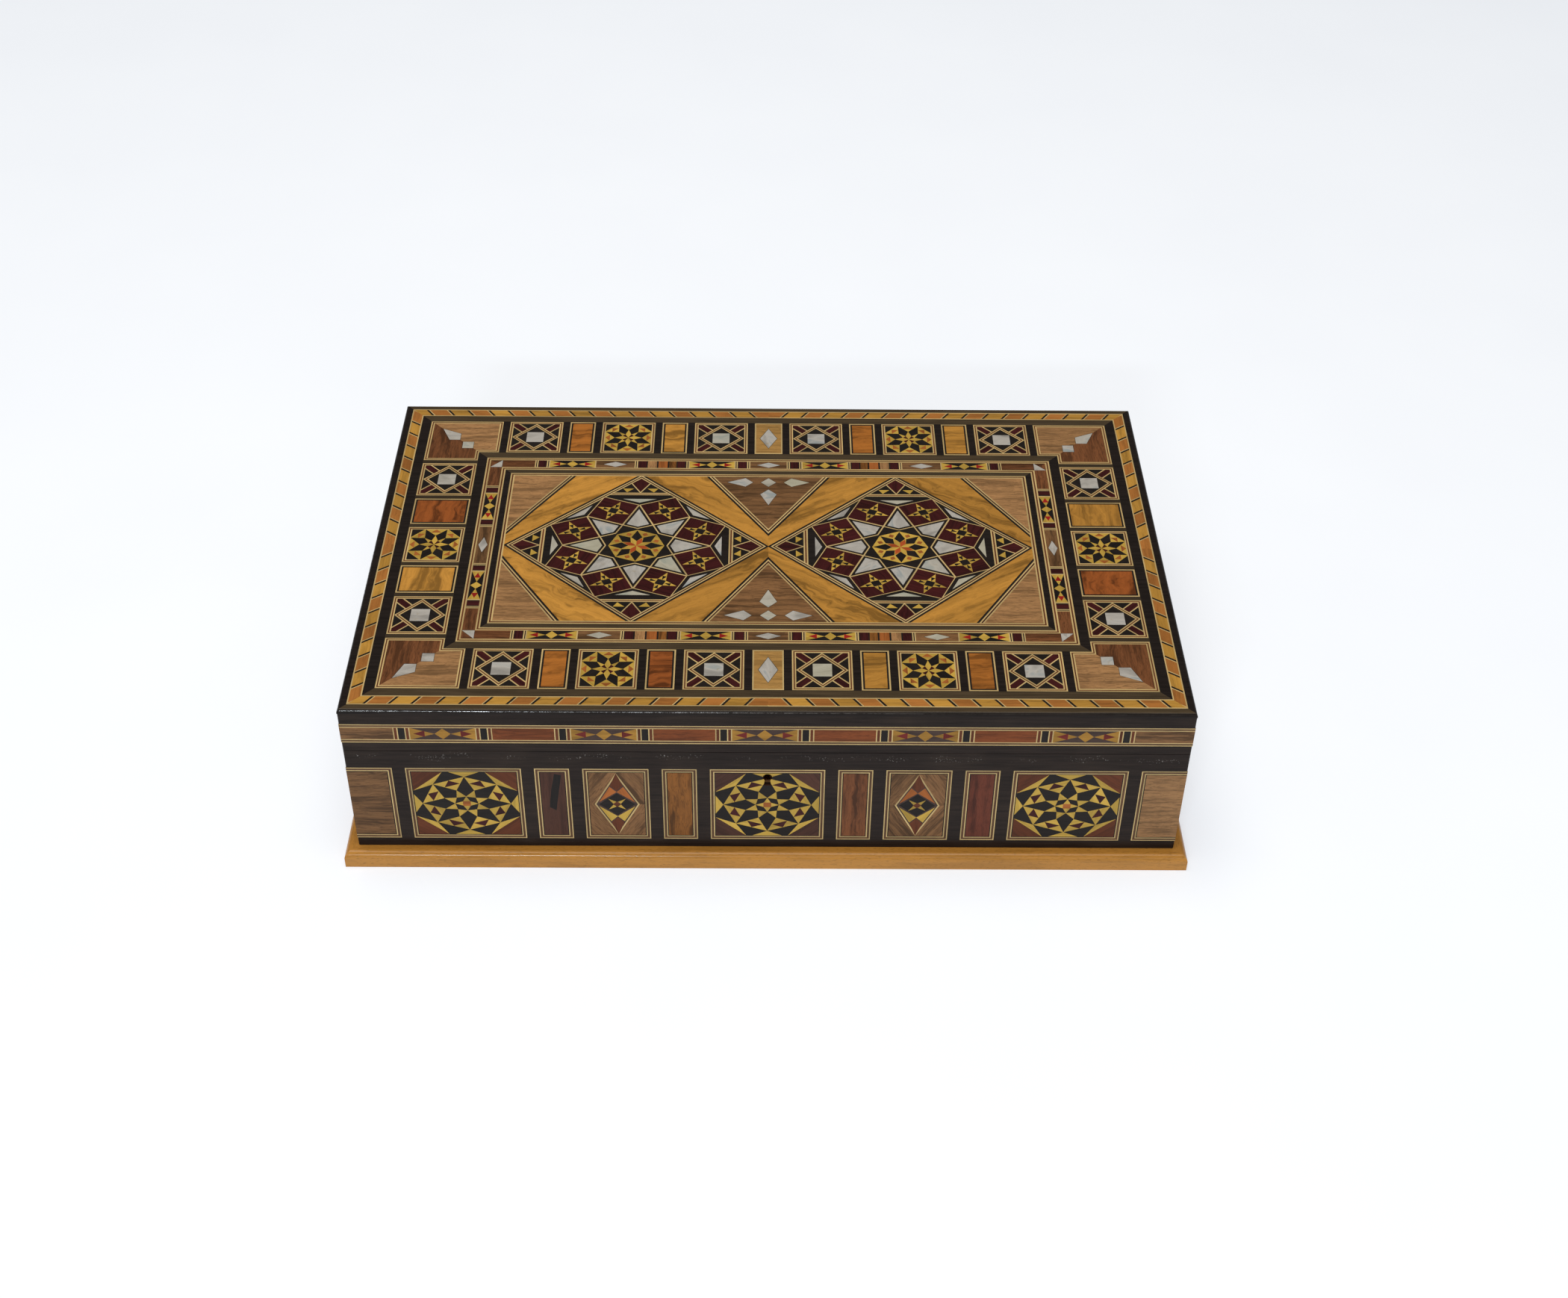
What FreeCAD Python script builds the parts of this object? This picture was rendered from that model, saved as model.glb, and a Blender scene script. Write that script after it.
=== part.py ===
import FreeCAD, Part
import os
import Sketcher
from FreeCAD import Placement, Rotation, Vector

# Inlaid wooden box: a case on a projecting plinth and a hinged lid, both covered with a dark
# ground sheet that has recesses for the inlay. The origin is the middle of the plinth's foot:
# X runs along the front, +Y points to the back, where the hinges are, and +Z points up.

doc = FreeCAD.newDocument("inlaid_box")

# ---------------------------------------------------------------- driving dimensions
SIZES = {
    # outer form
    "box_length": 280.0,
    "box_depth": 176.0,
    "plinth_height": 6.2,
    "plinth_projection": 4.5,
    "plinth_width": 12.0,
    "plinth_round": 2.4,
    "case_height": 44.2,
    "parting_gap": 0.2,
    "lid_height": 17.8,
    # sheets and boards
    "veneer": 1.6,
    "inlay_depth": 0.9,
    "wall_core": 6.4,
    "lid_board": 5.0,
    "felt": 1.0,
    "edge_round": 1.2,
    "corner_round": 0.7,
    # velvet lining
    "floor_pad": 1.6,
    "lid_pad": 1.6,
    "lining": 1.2,
    "lining_drop": 2.0,
    # lid top: distances in from the lid's edge
    "rope_inset": 2.9,
    "rope_width": 4.4,
    "ring_inset": 10.8,
    "tile": 20.5,
    "band_inset": 34.7,
    "band_width": 7.5,
    "field_inset": 44.4,
    "pearl_panel": 10.8,
    "olive_row": 10.0,
    "olive_side": 15.5,
    "row_gap": 2.4,
    "side_gap": 1.7,
    # front, sides and back
    "panel_low": 3.7,
    "panel_high": 32.8,
    "star_panel": 38.4,
    "strip_panel": 11.6,
    "diamond_panel": 22.0,
    "panel_gap": 4.4,
    "lid_band_drop": 6.2,
    "lid_band_high": 8.0,
    # keyhole
    "keyhole_radius": 1.55,
    "keyhole_centre": 32.95,
    "keyhole_foot": 29.2,
    "keyhole_neck": 1.5,
    "keyhole_skirt": 2.5,
    # hinges
    "hinge_place": 82.0,
    "hinge_long": 25.0,
    "leaf_wide": 6.0,
    "leaf_thick": 0.8,
    "knuckle_radius": 1.5,
    "knuckle_middle": 9.0,
    "knuckle_gap": 0.2,
    "knuckle_room": 0.2,
    "pin_radius": 0.6,
    "pin_fit": 0.06,
    "stop_angle": 51.0,
    # screws
    "screw_head": 1.3,
    "screw_radius": 0.6,
    "screw_sink": 0.7,
    "screw_long": 6.0,
    "hinge_screw_place": 8.5,
    "hinge_screw_inset": 3.8,
    # lock
    "lock_long": 30.0,
    "lock_thick": 5.2,
    "lock_tall": 20.0,
    "lock_skin": 0.8,
    "plate_long": 40.0,
    "plate_thick": 1.0,
    "plate_screw_place": 17.5,
    "loop_place": 8.0,
    "loop_thick": 1.2,
    "loop_wide": 2.8,
    "loop_tall": 6.5,
    "loop_rim": 0.8,
    "loop_eye": 1.7,
    "loop_eye_tall": 2.3,
    "slot_room": 0.45,
    "bolt_thick": 1.2,
    "bolt_bar_low": 34.6,
    "bolt_bar_high": 2.8,
    "bolt_arm": 1.5,
    "finger_long": 4.8,
    "finger_high": 1.4,
    "finger_low": 39.1,
    "finger_back": 0.5,
    "key_notch": 4.0,
    "key_notch_high": 1.2,
    "key_post": 0.6,
    "spring_long": 9.0,
    "spring_thick": 0.3,
}

dims = doc.addObject("Spreadsheet::Sheet", "dims")
for row, (alias, value) in enumerate(SIZES.items(), start=1):
    dims.set("A%d" % row, alias)
    dims.set("B%d" % row, str(value))
    dims.setAlias("B%d" % row, alias)
doc.recompute()

# ---------------------------------------------------------------- places used again and again
HALF_LONG = "dims.box_length / 2"
HALF_DEEP = "dims.box_depth / 2"
CASE_LOW = "dims.plinth_height"
CASE_TOP = "(dims.plinth_height + dims.case_height)"
LID_LOW = "(dims.plinth_height + dims.case_height + dims.parting_gap)"
LID_TOP = "(dims.plinth_height + dims.case_height + dims.parting_gap + dims.lid_height)"
HINGE_HEIGHT = "(dims.plinth_height + dims.case_height + dims.parting_gap / 2)"
HINGE_BACK = "(dims.box_depth / 2 - dims.veneer)"
INNER_LONG = "(dims.box_length - 2 * dims.veneer - 2 * dims.wall_core)"
INNER_DEEP = "(dims.box_depth - 2 * dims.veneer - 2 * dims.wall_core)"
CORE_LONG = "(dims.box_length - 2 * dims.veneer)"
CORE_DEEP = "(dims.box_depth - 2 * dims.veneer)"
BOARD_LOW = "(%s - dims.veneer - dims.lid_board)" % LID_TOP
LOCK_MIDDLE = "(-dims.box_depth / 2 + dims.veneer + dims.wall_core - dims.lock_thick / 2)"

SIDES = {
    "front": Rotation(Vector(0, 0, 1), 0),
    "right": Rotation(Vector(0, 0, 1), 90),
    "back": Rotation(Vector(0, 0, 1), 180),
    "left": Rotation(Vector(0, 0, 1), -90),
}

subparts = []


def keep(piece, label):
    """Name a finished piece and put it on the list of sub-parts."""
    piece.Label = label
    subparts.append(piece)
    return piece


# ---------------------------------------------------------------- small builders
def bind(piece, **expressions):
    """Bind properties to expressions; x, y and z stand for the place."""
    for name, text in expressions.items():
        path = "Placement.Base." + name if name in ("x", "y", "z") else name
        piece.setExpression(path, text)
    return piece


def block(name, x, y, z):
    """A box from three pairs of (start, size) expressions."""
    piece = doc.addObject("Part::Box", name)
    bind(piece, x=x[0], y=y[0], z=z[0], Length=x[1], Width=y[1], Height=z[1])
    return piece


def centred(size, middle="0"):
    """The (start, size) pair of a size that lies evenly about a middle."""
    return ("%s - (%s) / 2" % (middle, size), size)


def rod(name, radius, length, x, y, z, turn=None):
    """A cylinder along Z, or turned by the given rotation about its lower centre."""
    piece = doc.addObject("Part::Cylinder", name)
    if turn is not None:
        piece.Placement = Placement(Vector(), turn)
    bind(piece, Radius=radius, Height=length, x=x, y=y, z=z)
    return piece


def group(name, pieces):
    """Separate solids that stay separate in one node."""
    piece = doc.addObject("Part::Compound", name)
    piece.Links = pieces
    return piece


def fused(name, pieces):
    piece = doc.addObject("Part::MultiFuse", name)
    piece.Shapes = pieces
    return piece


def cut(name, base, tool):
    piece = doc.addObject("Part::Cut", name)
    piece.Base = base
    piece.Tool = tool
    return piece


def edge_numbers(shape, wanted):
    """The numbers of the edges whose middle passes the test."""
    numbers = []
    for number, edge in enumerate(shape.Edges, start=1):
        if wanted(edge):
            numbers.append(number)
    return numbers


def rounded(name, base, radius, wanted):
    """A Part::Fillet on the edges of base that pass the test."""
    doc.recompute()
    piece = doc.addObject("Part::Fillet", name)
    piece.Base = base
    piece.Edges = [(number, radius, radius) for number in edge_numbers(base.Shape, wanted)]
    return piece


def origin_plane(body, role):
    return next(plane for plane in body.Origin.OriginFeatures if plane.Role == role)


def new_sketch(body, role, name):
    sketch = body.newObject("Sketcher::SketchObject", name)
    sketch.AttachmentSupport = (origin_plane(body, role), [""])
    sketch.MapMode = "FlatFace"
    return sketch


def closed_outline(sketch, points):
    """Straight lines through the points, joined end to end."""
    count = len(points)
    for index in range(count):
        start = Vector(points[index][0], points[index][1], 0)
        end = Vector(points[(index + 1) % count][0], points[(index + 1) % count][1], 0)
        sketch.addGeometry(Part.LineSegment(start, end), False)
    for index in range(count):
        sketch.addConstraint(Sketcher.Constraint("Coincident", index, 2, (index + 1) % count, 1))


def drive(sketch, constraint, name, expression):
    """Add a dimension to the sketch, name it and bind it."""
    index = sketch.addConstraint(constraint)
    sketch.renameConstraint(index, name)
    sketch.setExpression("Constraints." + name, expression)


def mitred_strip(name, side, inset, width, height, length, low):
    """A strip of one side of a picture frame: long outer edge, ends mitred at 45 degrees.

    inset is how far its outer edge lies inside the box's face, below zero for outside."""
    body = doc.addObject("PartDesign::Body", name)
    sketch = new_sketch(body, "XY_Plane", name + "_plan")
    closed_outline(sketch, [(-9, 0), (9, 0), (6, 3), (-6, 3)])
    sketch.addConstraint(Sketcher.Constraint("Horizontal", 0))
    sketch.addConstraint(Sketcher.Constraint("Symmetric", 0, 1, 0, 2, -1, 1))
    sketch.addConstraint(Sketcher.Constraint("Symmetric", 2, 1, 2, 2, -2))
    drive(sketch, Sketcher.Constraint("DistanceX", 0, 1, 0, 2, 18), "outer", length)
    drive(sketch, Sketcher.Constraint("DistanceX", 2, 2, 2, 1, 12), "inner",
          "%s - 2 * (%s)" % (length, width))
    drive(sketch, Sketcher.Constraint("DistanceY", 0, 1, 2, 2, 3), "width", width)
    pad = body.newObject("PartDesign::Pad", name + "_pad")
    pad.Profile = sketch
    pad.setExpression("Length", height)
    place_on_side(body, side, inset, low)
    return body


def place_on_side(piece, side, inset, low):
    """Turn a piece drawn for the front to its side, and bring it out to the face."""
    piece.Placement = Placement(Vector(), SIDES[side])
    piece.setExpression("Placement.Base.z", low)
    if side in ("front", "back"):
        sign = "-" if side == "front" else ""
        piece.setExpression("Placement.Base.y", "%s(%s - (%s))" % (sign, HALF_DEEP, inset))
    else:
        sign = "-" if side == "left" else ""
        piece.setExpression("Placement.Base.x", "%s(%s - (%s))" % (sign, HALF_LONG, inset))


def face_block(name, side, middle, width, low, high):
    """An inlay block flush with the face on one side; middle runs along the face."""
    along = centred(width, middle)
    up = (low, high)
    if side == "front":
        return block(name, along, ("-" + HALF_DEEP, "dims.inlay_depth"), up)
    if side == "back":
        return block(name, along, (HALF_DEEP + " - dims.inlay_depth", "dims.inlay_depth"), up)
    if side == "left":
        return block(name, ("-" + HALF_LONG, "dims.inlay_depth"), along, up)
    return block(name, (HALF_LONG + " - dims.inlay_depth", "dims.inlay_depth"), along, up)


def screw_solids(name, places, low, point_up):
    """Countersunk screws with flush heads; low is the height of the head's face."""
    turn = Rotation() if point_up else Rotation(Vector(1, 0, 0), 180)
    solids = []
    for index, (x, y) in enumerate(places):
        head = doc.addObject("Part::Cone", "%s_head%d" % (name, index))
        head.Placement = Placement(Vector(), turn)
        bind(head, Radius1="dims.screw_head", Radius2="dims.screw_radius",
             Height="dims.screw_sink", x=x, y=y, z=low)
        shank = rod("%s_shank%d" % (name, index), "dims.screw_radius", "dims.screw_long",
                    x, y, low, turn)
        solids.append(fused("%s_screw%d" % (name, index), [head, shank]))
    return group(name, solids)


# ---------------------------------------------------------------- plinth, bottom and felt
for side in SIDES:
    face = "dims.box_length" if side in ("front", "back") else "dims.box_depth"
    strip = mitred_strip("plinth_" + side, side, "-dims.plinth_projection", "dims.plinth_width",
                         "dims.plinth_height", face + " + 2 * dims.plinth_projection", "0")
    doc.recompute()
    top = SIZES["plinth_height"]
    pad = strip.Tip
    outer_top = edge_numbers(pad.Shape, lambda edge: abs(edge.CenterOfMass.z - top) < 0.01
                             and abs(edge.CenterOfMass.y) < 0.01)
    soft_edge = strip.newObject("PartDesign::Fillet", "plinth_round_" + side)
    soft_edge.Base = (pad, ["Edge%d" % number for number in outer_top])
    soft_edge.setExpression("Radius", "dims.plinth_round")
    strip.Tip = soft_edge
    keep(strip, "plinth_" + side)

PLINTH_INSIDE_LONG = "dims.box_length + 2 * dims.plinth_projection - 2 * dims.plinth_width"
PLINTH_INSIDE_DEEP = "dims.box_depth + 2 * dims.plinth_projection - 2 * dims.plinth_width"
keep(block("felt_sheet", centred(PLINTH_INSIDE_LONG), centred(PLINTH_INSIDE_DEEP),
           ("0", "dims.felt")), "base_felt")
keep(block("bottom_board", centred(PLINTH_INSIDE_LONG), centred(PLINTH_INSIDE_DEEP),
           ("dims.felt", "dims.plinth_height - dims.felt")), "bottom_panel")

# ---------------------------------------------------------------- hinges
ALONG_X = Rotation(Vector(0, 1, 0), 90)
HINGE_MIDDLES = ["-dims.hinge_place", "dims.hinge_place"]
KNUCKLE_END = "((dims.hinge_long - dims.knuckle_middle) / 2 - dims.knuckle_gap)"


def axis_rod(name, radius, start, length):
    """A cylinder on the hinge axis from start along X."""
    return rod(name, radius, length, start, HINGE_BACK, HINGE_HEIGHT, ALONG_X)


def hinge_leaf(name, middle, upper):
    """One leaf: a plate with its knuckles on the axis and a bore for the pin."""
    low = LID_LOW if upper else "%s - dims.leaf_thick" % CASE_TOP
    plate = block(name + "_plate", centred("dims.hinge_long", middle),
                  ("%s - dims.leaf_wide" % HINGE_BACK, "dims.leaf_wide"), (low, "dims.leaf_thick"))
    left = "%s - dims.hinge_long / 2" % middle
    centre = "%s - dims.knuckle_middle / 2" % middle
    right = "%s + dims.hinge_long / 2 - %s" % (middle, KNUCKLE_END)
    room = "dims.knuckle_radius + dims.knuckle_room"
    if upper:
        spans = [(left, KNUCKLE_END), (right, KNUCKLE_END)]
        others = [("%s - dims.knuckle_gap" % centre, "dims.knuckle_middle + 2 * dims.knuckle_gap")]
    else:
        spans = [(centre, "dims.knuckle_middle")]
        others = [("%s - 1" % left, "%s + dims.knuckle_gap + 1" % KNUCKLE_END),
                  ("%s - dims.knuckle_gap" % right, "%s + dims.knuckle_gap + 1" % KNUCKLE_END)]
    clear = [axis_rod("%s_clear%d" % (name, i), room, a, b) for i, (a, b) in enumerate(others)]
    trimmed = cut(name + "_trimmed", plate, group(name + "_clears", clear))
    knuckles = [axis_rod("%s_knuckle%d" % (name, i), "dims.knuckle_radius", a, b)
                for i, (a, b) in enumerate(spans)]
    solid = fused(name + "_solid", [trimmed] + knuckles)
    bore = axis_rod(name + "_bore", "dims.pin_radius + dims.pin_fit",
                    "%s - 1" % left, "dims.hinge_long + 2")
    return cut(name + "_bored", solid, bore)


screw_line = "%s - dims.hinge_screw_inset" % HINGE_BACK
hinge_screw_places = []
for middle in HINGE_MIDDLES:
    for shift in ("-", "+"):
        place = "%s %s dims.hinge_screw_place" % (middle, shift)
        hinge_screw_places.append((place, screw_line))
hinge_case_screws = screw_solids("hinge_case", hinge_screw_places, CASE_TOP, False)
hinge_lid_screws = screw_solids("hinge_lid", hinge_screw_places, LID_LOW, True)

lower_leaves = [hinge_leaf("lower_leaf%d" % i, middle, False)
                for i, middle in enumerate(HINGE_MIDDLES)]
upper_leaves = [hinge_leaf("upper_leaf%d" % i, middle, True)
                for i, middle in enumerate(HINGE_MIDDLES)]
keep(cut("lower_leaves", group("lower_leaf_pair", lower_leaves), hinge_case_screws),
     "hinge_lower_leaves")
keep(cut("upper_leaves", group("upper_leaf_pair", upper_leaves), hinge_lid_screws),
     "hinge_upper_leaves")
keep(group("hinge_pin_pair", [axis_rod("hinge_pin%d" % i, "dims.pin_radius",
                                       "%s - dims.hinge_long / 2" % middle, "dims.hinge_long")
                              for i, middle in enumerate(HINGE_MIDDLES)]), "hinge_pins")
keep(hinge_case_screws, "hinge_lower_screws")
keep(hinge_lid_screws, "hinge_upper_screws")


def hinge_rooms(name, upper):
    """What the walls lose for the hinges: leaf recesses and round grooves for the knuckles."""
    low = LID_LOW if upper else "%s - dims.leaf_thick" % CASE_TOP
    rooms = []
    for index, middle in enumerate(HINGE_MIDDLES):
        recess = block("%s_recess%d" % (name, index), centred("dims.hinge_long", middle),
                       ("%s - dims.leaf_wide" % HINGE_BACK, "dims.leaf_wide"),
                       (low, "dims.leaf_thick"))
        groove = axis_rod("%s_groove%d" % (name, index), "dims.knuckle_radius + dims.knuckle_room",
                          "%s - dims.hinge_long / 2 - dims.knuckle_gap" % middle,
                          "dims.hinge_long + 2 * dims.knuckle_gap")
        rooms.append(fused("%s_room%d" % (name, index), [recess, groove]))
    return rooms


# ---------------------------------------------------------------- lock
LOCK_TOP = "(%s - dims.plate_thick)" % CASE_TOP
LOCK_LOW = "(%s - dims.lock_tall)" % LOCK_TOP
lock_body = block("lock_body", centred("dims.lock_long"), centred("dims.lock_thick", LOCK_MIDDLE),
                  (LOCK_LOW, "dims.lock_tall"))
lock_hollow = block("lock_hollow", centred("dims.lock_long - 2 * dims.lock_skin"),
                    centred("dims.lock_thick - 2 * dims.lock_skin", LOCK_MIDDLE),
                    ("%s + dims.lock_skin" % LOCK_LOW, "dims.lock_tall"))
TO_BACK = Rotation(Vector(1, 0, 0), -90)

# the keyhole: a round eye with a skirt that widens towards its foot, cut from the face inwards
KEY_CENTRE = "(%s + dims.keyhole_centre)" % CASE_LOW
KEYHOLE_DEEP = "dims.veneer + dims.wall_core - dims.lock_thick + dims.lock_skin + 1"
keyhole_eye = rod("keyhole_eye", "dims.keyhole_radius", KEYHOLE_DEEP, "0",
                  "-%s - 0.5" % HALF_DEEP, KEY_CENTRE, TO_BACK)
keyhole_slot = doc.addObject("Part::Wedge", "keyhole_slot")
keyhole_slot.Placement = Placement(Vector(), Rotation(Vector(1, 0, 0), 90))
bind(keyhole_slot, Xmin="-dims.keyhole_skirt / 2", Xmax="dims.keyhole_skirt / 2", Ymin="0",
     Ymax="dims.keyhole_centre - dims.keyhole_foot", Zmin="0", Zmax=KEYHOLE_DEEP, Z2min="0",
     Z2max=KEYHOLE_DEEP, X2min="-dims.keyhole_neck / 2", X2max="dims.keyhole_neck / 2",
     x="0", y="-%s - 0.5 + %s" % (HALF_DEEP, KEYHOLE_DEEP),
     z="%s + dims.keyhole_foot" % CASE_LOW)
keyhole = fused("keyhole", [keyhole_eye, keyhole_slot])

key_post = rod("key_post", "dims.key_post", "dims.lock_thick - dims.lock_skin", "0",
               "%s - dims.lock_thick / 2 + dims.lock_skin" % LOCK_MIDDLE, KEY_CENTRE, TO_BACK)
lock_shell = cut("lock_shell", cut("lock_open", lock_body, lock_hollow), keyhole)
keep(fused("lock_box", [lock_shell, key_post]), "lock_case")

LOOP_PLACES = ["-dims.loop_place", "dims.loop_place"]
plate_slots = [block("plate_slot%d" % i, centred("dims.loop_thick + 2 * dims.slot_room", middle),
                     centred("dims.loop_wide + 2 * dims.slot_room", LOCK_MIDDLE),
                     (LOCK_TOP, "dims.plate_thick"))
               for i, middle in enumerate(LOOP_PLACES)]
plate_blank = block("plate_blank", centred("dims.plate_long"),
                    centred("dims.lock_thick", LOCK_MIDDLE), (LOCK_TOP, "dims.plate_thick"))
plate_screw_places = [("-dims.plate_screw_place", LOCK_MIDDLE),
                      ("dims.plate_screw_place", LOCK_MIDDLE)]
lock_screws = screw_solids("lock_plate_fix", plate_screw_places, CASE_TOP, False)
plate_slotted = cut("plate_slotted", plate_blank, group("plate_slots", plate_slots))
keep(cut("plate_drilled", plate_slotted, lock_screws), "lock_plate")
keep(lock_screws, "lock_screws")

# the bolt: a bar with two arms, each with a finger that slides sideways into a loop
bolt_y = centred("dims.bolt_thick", LOCK_MIDDLE)
finger_base = "%s + dims.finger_low" % CASE_LOW
bar_base = "%s + dims.bolt_bar_low" % CASE_LOW
bolt_pieces = []
finger_starts = []
for index, middle in enumerate(LOOP_PLACES):
    tip = "(%s - dims.loop_thick / 2 - dims.finger_back)" % middle
    start = "(%s - dims.finger_long)" % tip
    finger_starts.append(start)
    bolt_pieces.append(block("finger%d" % index, (start, "dims.finger_long"), bolt_y,
                             (finger_base, "dims.finger_high")))
    bolt_pieces.append(block("arm%d" % index, (start, "dims.bolt_arm"), bolt_y,
                             (bar_base, "dims.finger_low - dims.bolt_bar_low + dims.finger_high")))
bolt_pieces.append(block("bolt_bar", (finger_starts[0], "2 * dims.loop_place + dims.bolt_arm"),
                         bolt_y, (bar_base, "dims.bolt_bar_high")))
bolt_notch = block("bolt_notch", centred("dims.key_notch"), bolt_y,
                   (bar_base, "dims.key_notch_high"))
keep(cut("bolt_cut", fused("bolt_blank", bolt_pieces), bolt_notch), "lock_bolt")
keep(block("leaf_spring", ("-dims.lock_long / 2 + dims.lock_skin", "dims.spring_long"), bolt_y,
           ("%s - 2 * dims.spring_thick" % bar_base, "dims.spring_thick")), "lock_spring")

# the strike plate under the lid's front wall, with its two loops
strike_blank = block("strike_blank", centred("dims.plate_long"),
                     centred("dims.lock_thick", LOCK_MIDDLE), (LID_LOW, "dims.plate_thick"))
loop_foot = "(%s - dims.loop_tall)" % LID_LOW
loops = [block("loop%d" % i, centred("dims.loop_thick", middle),
               centred("dims.loop_wide", LOCK_MIDDLE), (loop_foot, "dims.loop_tall"))
         for i, middle in enumerate(LOOP_PLACES)]
eyes = [block("loop_eye%d" % i, centred("2 * dims.loop_thick", middle),
              centred("dims.loop_eye", LOCK_MIDDLE),
              ("%s + dims.loop_rim" % loop_foot, "dims.loop_eye_tall"))
        for i, middle in enumerate(LOOP_PLACES)]
strike_screws = screw_solids("strike_fix", plate_screw_places, LID_LOW, True)
strike_looped = cut("strike_looped", fused("strike_solid", [strike_blank] + loops),
                    group("loop_eyes", eyes))
keep(cut("strike_drilled", strike_looped, strike_screws), "strike_plate")
keep(strike_screws, "strike_screws")

# ---------------------------------------------------------------- case walls
CASE_SPAN = (CASE_LOW, "dims.case_height")
FRONT_CORE = ("-%s + dims.veneer" % HALF_DEEP, "dims.wall_core")
BACK_CORE = ("%s - dims.veneer - dims.wall_core" % HALF_DEEP, "dims.wall_core")
LEFT_CORE = ("-%s + dims.veneer" % HALF_LONG, "dims.wall_core")
RIGHT_CORE = ("%s - dims.veneer - dims.wall_core" % HALF_LONG, "dims.wall_core")

lock_room = block("lock_room", centred("dims.lock_long"), centred("dims.lock_thick", LOCK_MIDDLE),
                  (LOCK_LOW, "dims.lock_tall"))
plate_room = block("plate_room", centred("dims.plate_long"),
                   centred("dims.lock_thick", LOCK_MIDDLE), (LOCK_TOP, "dims.plate_thick"))
front_rooms = fused("front_rooms", [lock_room, plate_room, lock_screws, keyhole])
keep(cut("front_wall", block("front_wall_blank", centred(CORE_LONG), FRONT_CORE, CASE_SPAN),
         front_rooms), "wall_front")
back_rooms = fused("back_rooms", hinge_rooms("case_back", False) + [hinge_case_screws])
keep(cut("back_wall", block("back_wall_blank", centred(CORE_LONG), BACK_CORE, CASE_SPAN),
         back_rooms), "wall_back")
keep(block("left_wall", LEFT_CORE, centred(INNER_DEEP), CASE_SPAN), "wall_left")
keep(block("right_wall", RIGHT_CORE, centred(INNER_DEEP), CASE_SPAN), "wall_right")

# ---------------------------------------------------------------- inlay of front, sides and back
PANEL_LOW = "%s + dims.panel_low" % CASE_LOW


def next_to(middle, width, neighbour):
    """The middle of a panel one gap outside its neighbour."""
    return "(%s + (%s) / 2 + dims.panel_gap + (%s) / 2)" % (middle, width, neighbour)


STRIP_1 = next_to("0", "dims.star_panel", "dims.strip_panel")
DIAMOND = next_to(STRIP_1, "dims.strip_panel", "dims.diamond_panel")
STRIP_2 = next_to(DIAMOND, "dims.diamond_panel", "dims.strip_panel")
STAR_OUT = next_to(STRIP_2, "dims.strip_panel", "dims.star_panel")
END_START = "(%s + dims.star_panel / 2 + dims.panel_gap)" % STAR_OUT
SIDE_END_START = "(%s + dims.diamond_panel / 2 + dims.panel_gap)" % DIAMOND


def face_panels(side, kind, middles, width):
    """Panels of one kind on one side, one solid each."""
    return [face_block("%s_%s%d" % (side, kind, i), side, middle, width, PANEL_LOW,
                       "dims.panel_high") for i, middle in enumerate(middles)]


def both_ways(middles):
    return ["(-%s)" % middle for middle in middles] + list(middles)


def end_panels(side, start, half_face):
    """The plain panels that run from the last inlay to the corner."""
    middle = "((%s + %s) / 2)" % (start, half_face)
    return face_panels(side, "end", both_ways([middle]), "%s - %s" % (half_face, start))


def long_face(side):
    """Star, diamond, strip and end panels of the front or the back."""
    stars = face_panels(side, "star", ["-" + STAR_OUT, "0", STAR_OUT], "dims.star_panel")
    diamonds = face_panels(side, "diamond", both_ways([DIAMOND]), "dims.diamond_panel")
    strips = face_panels(side, "strip", both_ways([STRIP_1, STRIP_2]), "dims.strip_panel")
    return stars, diamonds, strips, end_panels(side, END_START, HALF_LONG)


def short_face(side):
    """The same kinds of panel on a side: one star, two strips, two diamonds and the ends."""
    star = face_panels(side, "star", ["0"], "dims.star_panel")
    strips = face_panels(side, "strip", both_ways([STRIP_1]), "dims.strip_panel")
    diamonds = face_panels(side, "diamond", both_ways([DIAMOND]), "dims.diamond_panel")
    return star + strips + diamonds + end_panels(side, SIDE_END_START, "%s / 2" % CORE_DEEP)


front_stars, front_diamonds, front_strips, front_ends = long_face("front")
front_stars[1] = cut("front_star_keyed", front_stars[1], keyhole)
front_star_panels = keep(group("front_stars", front_stars), "front_star_panels")
front_diamond_panels = keep(group("front_diamonds", front_diamonds), "front_diamond_panels")
front_wood_strips = keep(group("front_strips", front_strips), "front_wood_strips")
front_end_panels = keep(group("front_ends", front_ends), "front_end_panels")
back_inlay_panels = keep(group("back_panels", sum(long_face("back"), [])), "back_inlay_panels")
left_panels = short_face("left")
right_panels = short_face("right")
keep(group("side_panels", left_panels + right_panels), "side_inlay_panels")

# ---------------------------------------------------------------- ground sheets of the case
def outer_upright(edge):
    """The upright edges at the box's outer corners."""
    middle = edge.CenterOfMass
    upright = abs(edge.Vertexes[0].X - edge.Vertexes[-1].X) < 0.01 and edge.Length > 1
    upright = upright and abs(edge.Vertexes[0].Y - edge.Vertexes[-1].Y) < 0.01
    at_side = abs(abs(middle.x) - SIZES["box_length"] / 2) < 0.01
    at_face = abs(abs(middle.y) - SIZES["box_depth"] / 2) < 0.01
    return upright and at_side and at_face


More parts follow.
